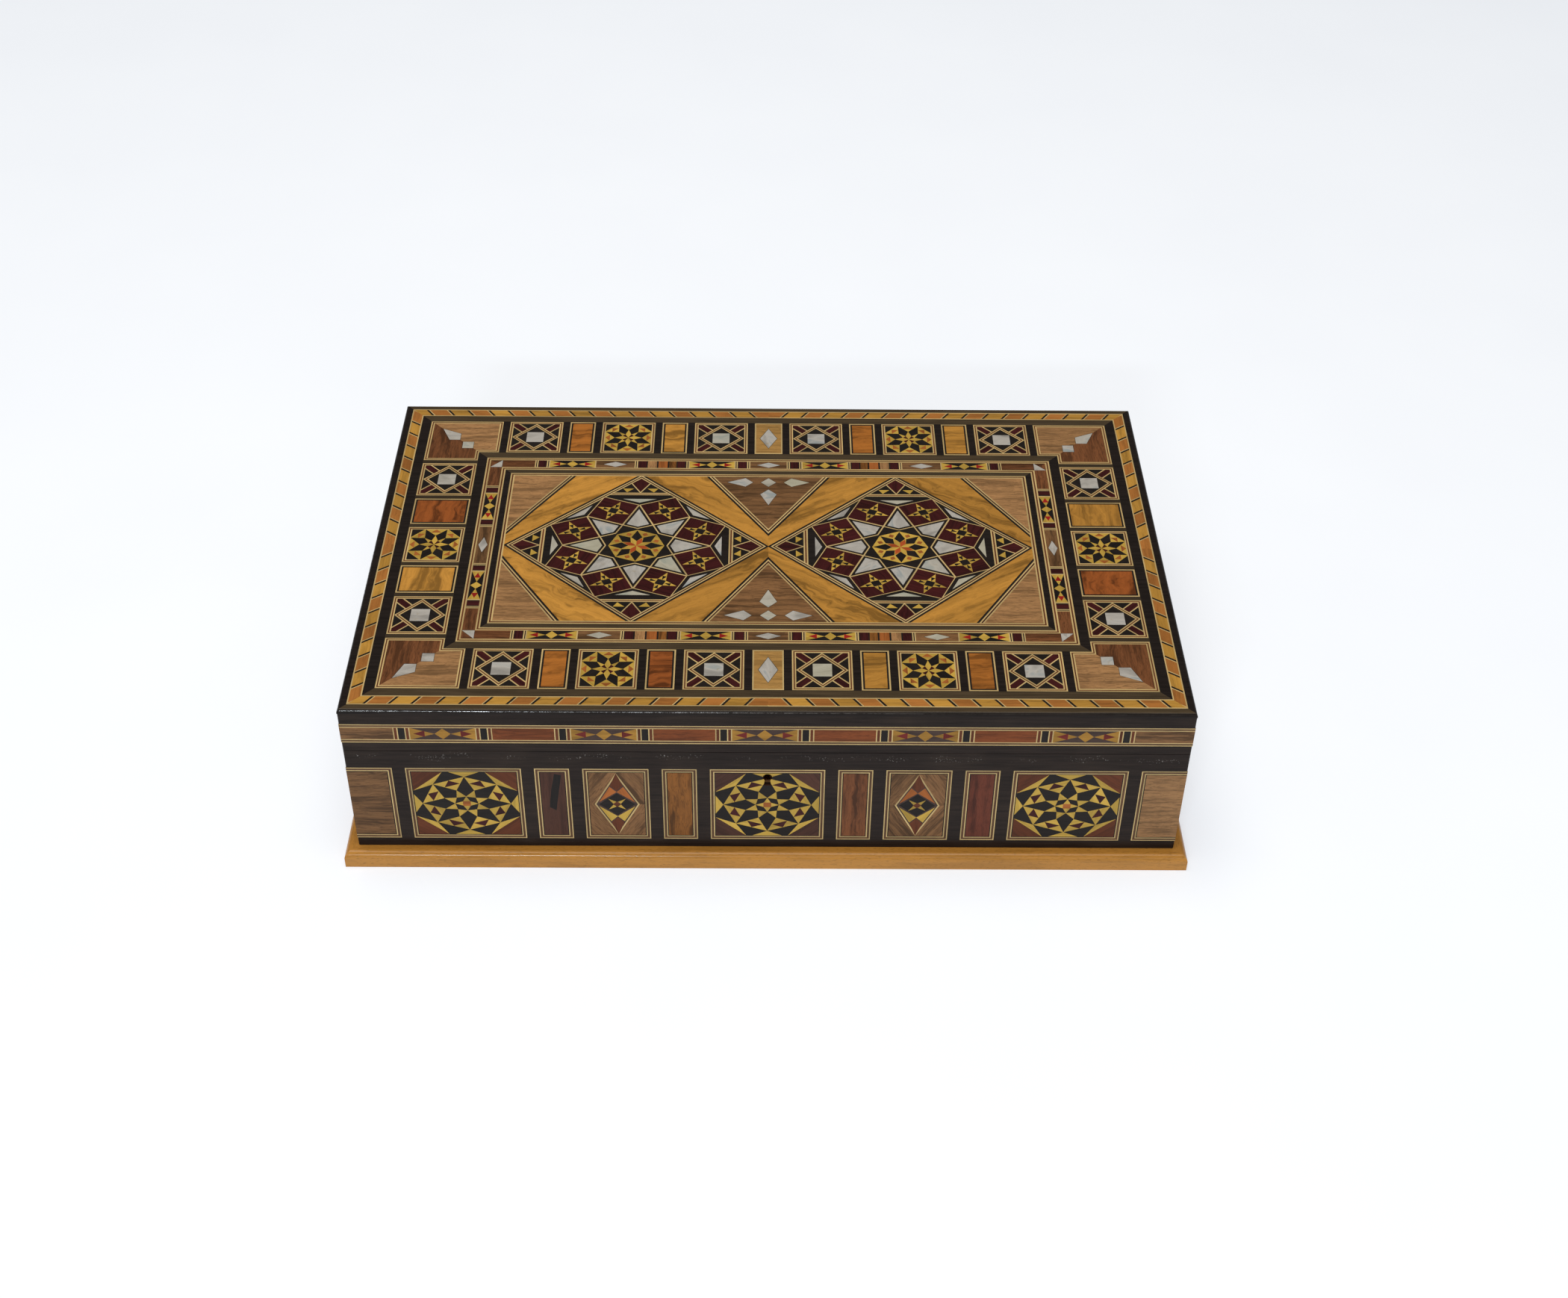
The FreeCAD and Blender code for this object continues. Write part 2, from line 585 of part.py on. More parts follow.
def bevel_wedge(name, upper):
    """What the back sheet loses behind the pin, so that the lid stops on the two bevels."""
    wedge = doc.addObject("Part::Wedge", name)
    rise = "dims.veneer * tan(dims.stop_angle) + dims.parting_gap / 2"
    if not upper:
        wedge.Placement = Placement(Vector(), Rotation(Vector(1, 0, 0), 180))
    bind(wedge, Xmin="-%s - 1" % HALF_LONG, Xmax="%s + 1" % HALF_LONG,
         X2min="-%s - 1" % HALF_LONG, X2max="%s + 1" % HALF_LONG,
         Ymin="0" if upper else "-dims.veneer", Ymax="dims.veneer" if upper else "0",
         Zmin="0", Z2min="0",
         Zmax="0.001" if upper else rise, Z2max=rise if upper else "0.001",
         x="0", y=HINGE_BACK, z=HINGE_HEIGHT)
    return wedge


front_sheet = rounded("front_sheet", block("front_sheet_blank", centred("dims.box_length"),
                                           ("-" + HALF_DEEP, "dims.veneer"), CASE_SPAN),
                      SIZES["corner_round"], outer_upright)
front_inlay = group("front_inlay", [front_star_panels, front_diamond_panels, front_wood_strips,
                                    front_end_panels])
keep(cut("front_ground", cut("front_recessed", front_sheet, front_inlay), keyhole),
     "veneer_front")
back_sheet = rounded("back_sheet", block("back_sheet_blank", centred("dims.box_length"),
                                         ("%s - dims.veneer" % HALF_DEEP, "dims.veneer"),
                                         CASE_SPAN),
                     SIZES["corner_round"], outer_upright)
back_recessed = cut("back_recessed", back_sheet, back_inlay_panels)
back_clear = fused("back_clear", hinge_rooms("case_sheet", False)
                   + [bevel_wedge("case_bevel", False)])
keep(cut("back_ground", back_recessed, back_clear), "veneer_back")
for side, panels in (("left", left_panels), ("right", right_panels)):
    start = "-%s" % HALF_LONG if side == "left" else "%s - dims.veneer" % HALF_LONG
    sheet = block(side + "_sheet", (start, "dims.veneer"), centred(CORE_DEEP), CASE_SPAN)
    keep(cut(side + "_ground", sheet, group(side + "_inlay", panels)), "veneer_" + side)

# ---------------------------------------------------------------- velvet lining of the case
LINING_SPAN = ("%s + dims.floor_pad" % CASE_LOW,
               "dims.case_height - dims.floor_pad - dims.lining_drop")
LINING_DEEP = "%s - 2 * dims.lining" % INNER_DEEP
keep(block("floor_velvet", centred(INNER_LONG), centred(INNER_DEEP), (CASE_LOW, "dims.floor_pad")),
     "floor_lining")
keep(block("front_velvet", centred(INNER_LONG), ("-%s / 2" % INNER_DEEP, "dims.lining"),
           LINING_SPAN), "lining_front")
keep(block("back_velvet", centred(INNER_LONG), ("%s / 2 - dims.lining" % INNER_DEEP,
                                                "dims.lining"), LINING_SPAN), "lining_back")
keep(block("left_velvet", ("-%s / 2" % INNER_LONG, "dims.lining"), centred(LINING_DEEP),
           LINING_SPAN), "lining_left")
keep(block("right_velvet", ("%s / 2 - dims.lining" % INNER_LONG, "dims.lining"),
           centred(LINING_DEEP), LINING_SPAN), "lining_right")

# ---------------------------------------------------------------- lid frame
LID_WALL_SPAN = (LID_LOW, "dims.lid_height - dims.veneer - dims.lid_board")
LID_SHEET_SPAN = (LID_LOW, "dims.lid_height - dims.veneer")
strike_room = block("strike_room", centred("dims.plate_long"),
                    centred("dims.lock_thick", LOCK_MIDDLE), (LID_LOW, "dims.plate_thick"))
keep(cut("lid_front", block("lid_front_blank", centred(CORE_LONG), FRONT_CORE, LID_WALL_SPAN),
         fused("strike_rooms", [strike_room, strike_screws])), "lid_wall_front")
lid_back_rooms = fused("lid_back_rooms", hinge_rooms("lid_back", True) + [hinge_lid_screws])
keep(cut("lid_back", block("lid_back_blank", centred(CORE_LONG), BACK_CORE, LID_WALL_SPAN),
         lid_back_rooms), "lid_wall_back")
keep(block("lid_left", LEFT_CORE, centred(INNER_DEEP), LID_WALL_SPAN), "lid_wall_left")
keep(block("lid_right", RIGHT_CORE, centred(INNER_DEEP), LID_WALL_SPAN), "lid_wall_right")
keep(block("lid_board", centred(CORE_LONG), centred(CORE_DEEP), (BOARD_LOW, "dims.lid_board")),
     "lid_panel")
keep(block("lid_velvet", centred(INNER_LONG), centred(INNER_DEEP),
           ("%s - dims.lid_pad" % BOARD_LOW, "dims.lid_pad")), "lid_lining")

# ---------------------------------------------------------------- band round the lid's edge
BAND_LOW = "%s - dims.lid_band_drop - dims.lid_band_high" % LID_TOP
lid_bands = {}
for side in SIDES:
    width = "dims.box_length" if side in ("front", "back") else CORE_DEEP
    lid_bands[side] = face_block("lid_band_" + side, side, "0", width, BAND_LOW,
                                 "dims.lid_band_high")
keep(lid_bands["front"], "lid_band_front")
keep(lid_bands["back"], "lid_band_back")
keep(group("lid_side_bands", [lid_bands["left"], lid_bands["right"]]), "lid_bands_side")

lid_front_sheet = rounded("lid_front_sheet",
                          block("lid_front_sheet_blank", centred("dims.box_length"),
                                ("-" + HALF_DEEP, "dims.veneer"), LID_SHEET_SPAN),
                          SIZES["corner_round"], outer_upright)
keep(cut("lid_front_ground", lid_front_sheet, lid_bands["front"]), "lid_veneer_front")
lid_back_sheet = rounded("lid_back_sheet",
                         block("lid_back_sheet_blank", centred("dims.box_length"),
                               ("%s - dims.veneer" % HALF_DEEP, "dims.veneer"), LID_SHEET_SPAN),
                         SIZES["corner_round"], outer_upright)
lid_back_clear = fused("lid_back_clear", hinge_rooms("lid_sheet", True)
                       + [bevel_wedge("lid_bevel", True)])
keep(cut("lid_back_ground", cut("lid_back_recessed", lid_back_sheet, lid_bands["back"]),
         lid_back_clear), "lid_veneer_back")
for side in ("left", "right"):
    start = "-%s" % HALF_LONG if side == "left" else "%s - dims.veneer" % HALF_LONG
    sheet = block("lid_%s_sheet" % side, (start, "dims.veneer"), centred(CORE_DEEP),
                  LID_SHEET_SPAN)
    keep(cut("lid_%s_ground" % side, sheet, lid_bands[side]), "lid_veneer_" + side)

# ---------------------------------------------------------------- inlay of the lid's top
INLAY_LOW = "(%s - dims.inlay_depth)" % LID_TOP
INLAY_SPAN = (INLAY_LOW, "dims.inlay_depth")


def inlay_frame(name, inset, width):
    """Four mitred strips that run round the top at one distance from its edge."""
    strips = []
    for side in SIDES:
        face = "dims.box_length" if side in ("front", "back") else "dims.box_depth"
        strips.append(mitred_strip("%s_%s" % (name, side), side, inset, width,
                                   "dims.inlay_depth", "%s - 2 * %s" % (face, inset), INLAY_LOW))
    return group(name, strips)


rope_band = keep(inlay_frame("rope_frame", "dims.rope_inset", "dims.rope_width"), "rope_band")
inner_band = keep(inlay_frame("inner_frame", "dims.band_inset", "dims.band_width"), "inner_band")

# the ring of tiles: rows along the front and the back, columns along the sides
ROW_LINE = "(%s - dims.ring_inset - dims.tile / 2)" % HALF_DEEP
COLUMN_LINE = "(%s - dims.ring_inset - dims.tile / 2)" % HALF_LONG


def past(middle, width, gap, neighbour):
    return "(%s + (%s) / 2 + %s + (%s) / 2)" % (middle, width, gap, neighbour)


ROW_PEARL_1 = past("0", "dims.pearl_panel", "dims.row_gap", "dims.tile")
ROW_OLIVE_1 = past(ROW_PEARL_1, "dims.tile", "dims.row_gap", "dims.olive_row")
ROW_STAR = past(ROW_OLIVE_1, "dims.olive_row", "dims.row_gap", "dims.tile")
ROW_OLIVE_2 = past(ROW_STAR, "dims.tile", "dims.row_gap", "dims.olive_row")
ROW_PEARL_2 = past(ROW_OLIVE_2, "dims.olive_row", "dims.row_gap", "dims.tile")
ROW_END = "(%s + dims.tile / 2 + dims.row_gap)" % ROW_PEARL_2
SIDE_OLIVE = past("0", "dims.tile", "dims.side_gap", "dims.olive_side")
SIDE_PEARL = past(SIDE_OLIVE, "dims.olive_side", "dims.side_gap", "dims.tile")
SIDE_END = "(%s + dims.tile / 2 + dims.side_gap)" % SIDE_PEARL


def row_tiles(kind, middles, width):
    """Tiles of one kind in the front row and the back row."""
    tiles = []
    for line in ("-" + ROW_LINE, ROW_LINE):
        for middle in middles:
            tiles.append(block("row_%s%d" % (kind, len(tiles)), centred(width, middle),
                               centred("dims.tile", line), INLAY_SPAN))
    return tiles


def column_tiles(kind, middles, depth):
    """Tiles of one kind in the left column and the right column."""
    tiles = []
    for line in ("-" + COLUMN_LINE, COLUMN_LINE):
        for middle in middles:
            tiles.append(block("column_%s%d" % (kind, len(tiles)), centred("dims.tile", line),
                               centred(depth, middle), INLAY_SPAN))
    return tiles


star_tiles = keep(group("stars", row_tiles("star", both_ways([ROW_STAR]), "dims.tile")
                        + column_tiles("star", ["0"], "dims.tile")), "star_tiles")
pearl_tiles = keep(group("pearls", row_tiles("pearl", both_ways([ROW_PEARL_1, ROW_PEARL_2]),
                                             "dims.tile")
                         + column_tiles("pearl", both_ways([SIDE_PEARL]), "dims.tile")),
                   "pearl_square_tiles")
olive_tiles = keep(group("olives", row_tiles("olive", both_ways([ROW_OLIVE_1, ROW_OLIVE_2]),
                                             "dims.olive_row")
                         + column_tiles("olive", both_ways([SIDE_OLIVE]), "dims.olive_side")),
                   "olive_wood_tiles")
diamond_tiles = keep(group("lozenges", row_tiles("lozenge", ["0"], "dims.pearl_panel")),
                     "pearl_diamond_tiles")


def corner_panel(name, right, back):
    """An L-shaped panel: a block less its inner corner, where the ring's inside turns."""
    outer_x = "%s - dims.ring_inset" % HALF_LONG
    outer_y = "%s - dims.ring_inset" % HALF_DEEP
    long = "%s - %s" % (outer_x, ROW_END)
    deep = "%s - %s" % (outer_y, SIDE_END)
    notch_long = "%s - dims.tile" % long
    notch_deep = "%s - dims.tile" % deep
    x = (ROW_END, long) if right else ("-(%s)" % outer_x, long)
    y = (SIDE_END, deep) if back else ("-(%s)" % outer_y, deep)
    notch_x = (ROW_END, notch_long) if right else ("-(%s + %s)" % (ROW_END, notch_long), notch_long)
    notch_y = (SIDE_END, notch_deep) if back else ("-(%s + %s)" % (SIDE_END, notch_deep), notch_deep)
    whole = block(name + "_whole", x, y, INLAY_SPAN)
    return cut(name, whole, block(name + "_notch", notch_x, notch_y, INLAY_SPAN))


corners = [corner_panel("corner_%d%d" % (right, back), right, back)
           for right in (0, 1) for back in (0, 1)]
corner_panels = keep(group("corner_set", corners), "corner_panels")

# the middle field with its two medallions, each a square standing on its corner
FIELD_LONG = "(dims.box_length - 2 * dims.field_inset)"
FIELD_DEEP = "(dims.box_depth - 2 * dims.field_inset)"


def medallion(name, side):
    """A lozenge that touches the field's edges and its twin at the field's middle."""
    body = doc.addObject("PartDesign::Body", name)
    sketch = new_sketch(body, "XY_Plane", name + "_plan")
    closed_outline(sketch, [(-9, 0), (0, -8), (9, 0), (0, 8)])
    sketch.addConstraint(Sketcher.Constraint("Symmetric", 0, 1, 1, 2, -1, 1))
    sketch.addConstraint(Sketcher.Constraint("Symmetric", 0, 2, 2, 2, -1, 1))
    sketch.addConstraint(Sketcher.Constraint("PointOnObject", 0, 1, -1))
    sketch.addConstraint(Sketcher.Constraint("PointOnObject", 0, 2, -2))
    drive(sketch, Sketcher.Constraint("DistanceX", 0, 1, 1, 2, 18), "long", FIELD_LONG + " / 2")
    drive(sketch, Sketcher.Constraint("DistanceY", 0, 2, 2, 2, 16), "deep", FIELD_DEEP)
    pad = body.newObject("PartDesign::Pad", name + "_pad")
    pad.Profile = sketch
    pad.setExpression("Length", "dims.inlay_depth")
    body.setExpression("Placement.Base.x", "%s%s / 4" % (side, FIELD_LONG))
    body.setExpression("Placement.Base.z", INLAY_LOW)
    return body


medallions = keep(group("medallion_pair", [medallion("medallion_left", "-"),
                                           medallion("medallion_right", "")]), "medallions")
field_blank = block("field_blank", centred(FIELD_LONG), centred(FIELD_DEEP), INLAY_SPAN)
central_field = keep(cut("field_pieces", field_blank, medallions), "central_field")


# ---------------------------------------------------------------- ground sheet of the lid's top
def top_outer(edge):
    """The four long edges round the sheet's upper face."""
    middle = edge.CenterOfMass
    top = sum(SIZES[name] for name in ("plinth_height", "case_height", "parting_gap",
                                       "lid_height"))
    return abs(middle.z - top) < 0.01


top_sheet = rounded("top_sheet", block("top_sheet_blank", centred("dims.box_length"),
                                       centred("dims.box_depth"),
                                       ("%s - dims.veneer" % LID_TOP, "dims.veneer")),
                    SIZES["edge_round"], top_outer)
field_room = block("field_room", centred(FIELD_LONG), centred(FIELD_DEEP), INLAY_SPAN)
top_inlay = group("top_inlay", [rope_band, inner_band, star_tiles, pearl_tiles, olive_tiles,
                                diamond_tiles, corner_panels, field_room])
keep(cut("top_ground_sheet", top_sheet, top_inlay), "top_ground")

# ---------------------------------------------------------------- check and write
doc.recompute()
for piece in doc.Objects:
    if "Invalid" in piece.State or "Error" in piece.State:
        raise RuntimeError("%s failed: %s" % (piece.Name, piece.State))
labels = [piece.Label for piece in subparts]
if len(set(labels)) != len(labels):
    raise RuntimeError("two sub-parts share a name")
os.makedirs("parts", exist_ok=True)
for piece in subparts:
    if piece.Shape.isNull() or not piece.Shape.isValid():
        raise RuntimeError("%s has no valid shape" % piece.Label)
    print("%-22s %2d solids %12.1f mm3" % (piece.Label, len(piece.Shape.Solids),
                                          piece.Shape.Volume))
for piece in subparts:
    piece.Shape.exportStep("parts/%s.step" % piece.Label)
print(len(subparts), "sub-parts")
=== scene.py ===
"""The looks of an inlaid wooden box, around its CAD frame: marquetry, woods, pearl, velvet and metal."""

import math
import random

import bmesh
import bpy
from mathutils import Matrix, Vector, noise
from mathutils.geometry import delaunay_2d_cdt


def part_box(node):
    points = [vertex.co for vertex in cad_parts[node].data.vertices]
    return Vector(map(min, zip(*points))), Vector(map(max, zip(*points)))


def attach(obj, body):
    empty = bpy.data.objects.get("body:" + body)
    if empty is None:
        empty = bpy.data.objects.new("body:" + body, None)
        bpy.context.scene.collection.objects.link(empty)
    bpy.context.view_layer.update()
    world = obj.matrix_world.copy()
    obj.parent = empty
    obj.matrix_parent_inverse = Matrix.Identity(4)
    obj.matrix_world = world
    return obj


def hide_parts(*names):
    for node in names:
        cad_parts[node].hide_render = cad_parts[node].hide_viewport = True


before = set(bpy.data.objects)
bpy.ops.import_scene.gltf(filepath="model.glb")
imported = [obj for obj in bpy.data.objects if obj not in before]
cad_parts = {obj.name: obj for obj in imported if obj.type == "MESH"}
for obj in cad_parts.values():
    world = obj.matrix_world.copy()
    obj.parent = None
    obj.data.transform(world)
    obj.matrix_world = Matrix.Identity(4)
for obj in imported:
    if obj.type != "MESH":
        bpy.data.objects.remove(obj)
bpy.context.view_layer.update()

MM = 0.001
ACROSS, AWAY, UP = Vector((1, 0, 0)), Vector((0, 1, 0)), Vector((0, 0, 1))
tones = random.Random(11)


# Materials ----------


def colour(red, green, blue):
    """A screen colour, from 0 to 255 a channel, as the linear colour that a shader takes."""
    shares = [value / 255 for value in (red, green, blue)]
    return tuple(s / 12.92 if s <= 0.04045 else ((s + 0.055) / 1.055) ** 2.4 for s in shares) + (1.0,)


def shaded(tint, factor):
    """The same colour, lighter or darker."""
    return tuple(min(1.0, channel * factor) for channel in tint[:3]) + (1.0,)


def is_socket(source):
    return isinstance(source, bpy.types.NodeSocket)


class Finish:
    """A material in the making: its nodes and its Principled shader."""

    def __init__(self, name):
        self.material = bpy.data.materials.new(name)
        self.material.use_nodes = True
        self.nodes = self.material.node_tree.nodes
        self.links = self.material.node_tree.links
        self.shader = self.nodes["Principled BSDF"]

    def feed(self, socket, source):
        """Links a socket to another node's output, or sets it to a plain value."""
        if is_socket(source):
            self.links.new(source, socket)
        else:
            socket.default_value = source

    def add(self, kind, *sources, **settings):
        """A new node with its settings, and its inputs fed in their order."""
        node = self.nodes.new("ShaderNode" + kind)
        for name, value in settings.items():
            setattr(node, name, value)
        for socket, source in zip(node.inputs, sources, strict=False):
            self.feed(socket, source)
        return node

    def maths(self, operation, *sources):
        return self.add("Math", *sources, operation=operation).outputs[0]

    def vector(self, operation, *sources):
        node = self.add("VectorMath", *sources, operation=operation)
        return node.outputs["Value" if operation == "DOT_PRODUCT" else "Vector"]

    def scaled(self, source, factor):
        """A vector times a number."""
        node = self.add("VectorMath", source, operation="SCALE")
        self.feed(node.inputs["Scale"], factor)
        return node.outputs["Vector"]

    def noise(self, place, scale, detail=3.0, roughness=0.55, distortion=0.0):
        """Cloudy values about 0.5, scale of them to a millimetre."""
        node = self.add("TexNoise", place)
        self.feed(node.inputs["Scale"], scale)
        self.feed(node.inputs["Detail"], detail)
        self.feed(node.inputs["Roughness"], roughness)
        self.feed(node.inputs["Distortion"], distortion)
        return node.outputs["Fac"]

    def spread(self, source, low, high, to_low=0.0, to_high=1.0):
        """A value from one range to another, held at its ends."""
        return self.add("MapRange", source, low, high, to_low, to_high).outputs[0]

    def ramp(self, source, *stops):
        """Colours along a value: pairs of a place and a colour."""
        node = self.add("ValToRGB", source)
        band = node.color_ramp
        while len(band.elements) < len(stops):
            band.elements.new(1.0)
        for element, (place, tint) in zip(band.elements, stops, strict=True):
            element.position = place
            element.color = tint
        return node.outputs["Color"]

    def mixed(self, share, first, second, blend="MIX"):
        node = self.add("Mix", data_type="RGBA", blend_type=blend)
        self.feed(node.inputs[0], share)
        self.feed(node.inputs[6], first)
        self.feed(node.inputs[7], second)
        return node.outputs[2]

    def product(self, first, *others):
        """All the values multiplied together."""
        for other in others:
            first = self.maths("MULTIPLY", first, other)
        return first

    def read(self, name, output):
        """A value that each face of a marquetry piece carries."""
        return self.add("Attribute", attribute_name=name).outputs[output]

    def place(self):
        """Where a point lies, in millimetres."""
        return self.scaled(self.add("TexCoord").outputs["Object"], 1 / MM)

    def own_place(self, tone):
        """The place moved by the face's tone, so that each face shows another part of the pattern."""
        shift = self.scaled(self.add("CombineXYZ", 97.0, 61.0, 43.0).outputs[0], tone)
        return self.vector("ADD", self.place(), shift)

    def squeezed(self, place, grain, share):
        """The place drawn together along the grain, so that a pattern made on it runs that way."""
        run = self.vector("DOT_PRODUCT", place, grain)
        return self.vector("SUBTRACT", place, self.scaled(grain, self.maths("MULTIPLY", run, 1 - share)))

    def paint(self, **sockets):
        """Sets or links the Principled shader's inputs. An underscore in a name stands for a space."""
        for name, source in sockets.items():
            self.feed(self.shader.inputs[name.replace("_", " ")], source)

    def relief(self, height, strength, distance):
        node = self.add("Bump")
        self.feed(node.inputs["Strength"], strength)
        self.feed(node.inputs["Distance"], distance)
        self.feed(node.inputs["Height"], height)
        self.paint(Normal=node.outputs["Normal"])


def wood(name, tint, contrast, streaks, pores, sway=0.6, grain=None, flecks=0.0, coat=0.1):
    """A lacquered wood, whose grain runs the way each face says unless one direction is given. contrast is how
    far its streaks darken, streaks how many there are to a millimetre, sway how far they wander."""
    made = Finish(name)
    tone = None
    if grain is None:
        grain, tone = made.read("grain", "Vector"), made.read("tone", "Fac")
    place = made.place() if tone is None else made.own_place(tone)
    bend = made.product(made.maths("SUBTRACT", made.noise(place, 0.09, 2.0), 0.5), sway * 4)
    place = made.vector("ADD", place, made.add("CombineXYZ", bend, bend, bend).outputs[0])
    fine, broad = made.squeezed(place, grain, 0.05), made.squeezed(place, grain, 0.12)
    streak = made.noise(fine, streaks, 4.0, 0.62, 0.2)
    figure = made.noise(broad, streaks * 0.3, 3.0, 0.5, 0.5)
    both = made.maths("ADD", made.product(streak, 0.55), made.product(figure, 0.45))
    stops = (0.0, shaded(tint, 1 - contrast)), (0.5, tint), (1.0, shaded(tint, 1 + contrast * 0.45))
    body = made.ramp(made.spread(both, 0.41, 0.59), *stops)
    pore = made.noise(fine, streaks * 4.5, 2.0, 0.7)
    body = made.mixed(made.spread(pore, 0.5, 0.64, 0.0, pores), body, shaded(tint, 0.35))
    if flecks:
        ray = made.noise(made.squeezed(place, grain, 0.2), 3.2, 1.0, 0.4)
        body = made.mixed(made.spread(ray, 0.6, 0.7, 0.0, flecks), body, shaded(tint, 0.42))
    if tone is not None:
        shade = made.spread(tone, 0.0, 1.0, 0.84, 1.16)
        body = made.add("HueSaturation", 0.5, 1.0, shade, 1.0, body).outputs[0]
    made.paint(Base_Color=body, Roughness=made.spread(streak, 0.3, 0.7, 0.34, 0.52))
    made.paint(Coat_Weight=coat, Coat_Roughness=0.13, Specular_IOR_Level=0.1)
    made.relief(made.maths("ADD", streak, pore), 0.25, 0.00003)
    return made.material


def pearl(name, tint):
    """Mother of pearl: cloudy growth layers with a faint play of green and blue-grey."""
    made = Finish(name)
    grain, tone = made.read("grain", "Vector"), made.read("tone", "Fac")
    place = made.own_place(tone)
    cloud = made.noise(made.squeezed(place, grain, 0.45), 0.16, 2.0, 0.5, 1.2)
    layers = made.noise(made.squeezed(place, grain, 0.2), 1.1, 3.0, 0.6, 2.0)
    stops = [(0.0, shaded(tint, 0.72)), (0.35, tint), (0.65, shaded(tint, 1.2)), (1.0, colour(150, 158, 160))]
    play = made.ramp(made.spread(cloud, 0.3, 0.7), *stops)
    play = made.mixed(made.spread(layers, 0.5, 0.75, 0.0, 0.25), play, shaded(tint, 1.4))
    play = made.mixed(made.spread(tone, 0.72, 1.0, 0.0, 0.45), play, colour(176, 172, 128))
    stain = made.noise(place, 0.32, 3.0, 0.6)
    play = made.mixed(made.spread(stain, 0.63, 0.75, 0.0, 0.45), play, colour(158, 138, 96))
    made.paint(Base_Color=play, Roughness=made.spread(layers, 0.3, 0.7, 0.16, 0.34))
    made.paint(Coat_Weight=0.8, Coat_Roughness=0.06, Specular_IOR_Level=0.7)
    made.relief(layers, 0.15, 0.00003)
    return made.material


def painted_glints(made, place):
    """Painted glints: small scattered pale specks painted into the colour just below the parting line."""
    drift = made.product(made.maths("SUBTRACT", made.noise(place, 0.12, 2.0), 0.5), 7.0)
    height = made.maths("ADD", made.add("SeparateXYZ", place).outputs[2], drift)
    above = made.spread(height, 46.8, 47.6)
    below = made.spread(height, 48.4, 49.2, 1.0, 0.0)
    patches = made.spread(made.noise(place, 0.1, 2.0), 0.46, 0.56)
    specks = made.spread(made.noise(place, 1.6, 3.0, 0.6), 0.6, 0.65, 0.0, 0.6)
    return made.product(specks, above, below, patches)


def ground(name, dark, light, painted_sheen_where=None, gleam_where=None, grain=ACROSS, with_painted_glints=False):
    """The dark lacquered wood between the inlays. How pale it is and how it gleams can depend on the place: a
    paleness given by a mask is painted sheen, and painted glints can be added below the parting line.
    """
    made = Finish(name)
    place = made.place()
    fine = made.squeezed(place, grain, 0.06)
    streak = made.noise(fine, 0.9, 4.0, 0.65, 0.3)
    band = made.spread(streak, 0.35, 0.68)
    body = made.mixed(band, dark, shaded(dark, 1.9))
    pale = made.mixed(band, shaded(light, 0.72), shaded(light, 1.25))
    if painted_sheen_where is None:
        share = made.spread(made.noise(place, 0.05, 2.0, 0.5), 0.45, 0.75, 0.0, 0.6)
    else:
        # A given mask paints sheen: the paler colour where the ground would shine.
        share = painted_sheen_where(made, place)
    body = made.mixed(share, body, pale)
    # Painted glints: pale specks mixed into the colour below the parting line.
    if with_painted_glints:
        body = made.mixed(painted_glints(made, place), body, colour(150, 146, 142))
    polish = 0.06 if gleam_where is None else gleam_where(made, place)
    made.paint(Base_Color=body, Roughness=made.spread(streak, 0.3, 0.7, 0.26, 0.42))
    made.paint(Coat_Weight=polish, Coat_Roughness=0.17, Coat_IOR=1.8, Specular_IOR_Level=0.06)
    brush = made.noise(made.squeezed(place, grain, 0.3), 0.55, 2.0, 0.6)
    made.relief(brush, 0.5, 0.00012)
    return made.material


def fibre(name, tint, sheen, pile, nap):
    """A cloth with brushed patches and a sheen. pile is how many fibres there are to a millimetre."""
    made = Finish(name)
    place = made.place()
    fibres = made.noise(place, pile, 2.0, 0.7)
    brushed = made.noise(place, 0.07, 2.0, 0.5, 0.8)
    body = made.mixed(made.spread(fibres, 0.35, 0.65), shaded(tint, 0.6), shaded(tint, 1.2))
    body = made.mixed(made.spread(brushed, 0.4, 0.65, 0.0, nap), body, shaded(tint, 1.9))
    made.paint(Base_Color=body, Roughness=made.spread(fibres, 0.3, 0.7, 0.8, 0.98))
    made.paint(Sheen_Weight=sheen, Sheen_Roughness=0.4, Sheen_Tint=shaded(tint, 3.0), Specular_IOR_Level=0.1)
    made.relief(fibres, 0.6, 0.0002)
    return made.material


def metal(name, tint, low, high, lines):
    """A brushed metal with smudges. low and high are the ends of its roughness."""
    made = Finish(name)
    place = made.place()
    brushing = made.noise(made.squeezed(place, ACROSS, 0.06), lines)
    smudge = made.noise(place, 0.25, 3.0, 0.6)
    body = made.mixed(made.spread(smudge, 0.35, 0.7), shaded(tint, 0.72), shaded(tint, 1.08))
    made.paint(Base_Color=body, Metallic=1.0, Roughness=made.spread(smudge, 0.3, 0.7, low, high))
    made.relief(brushing, 0.25, 0.00004)
    return made.material


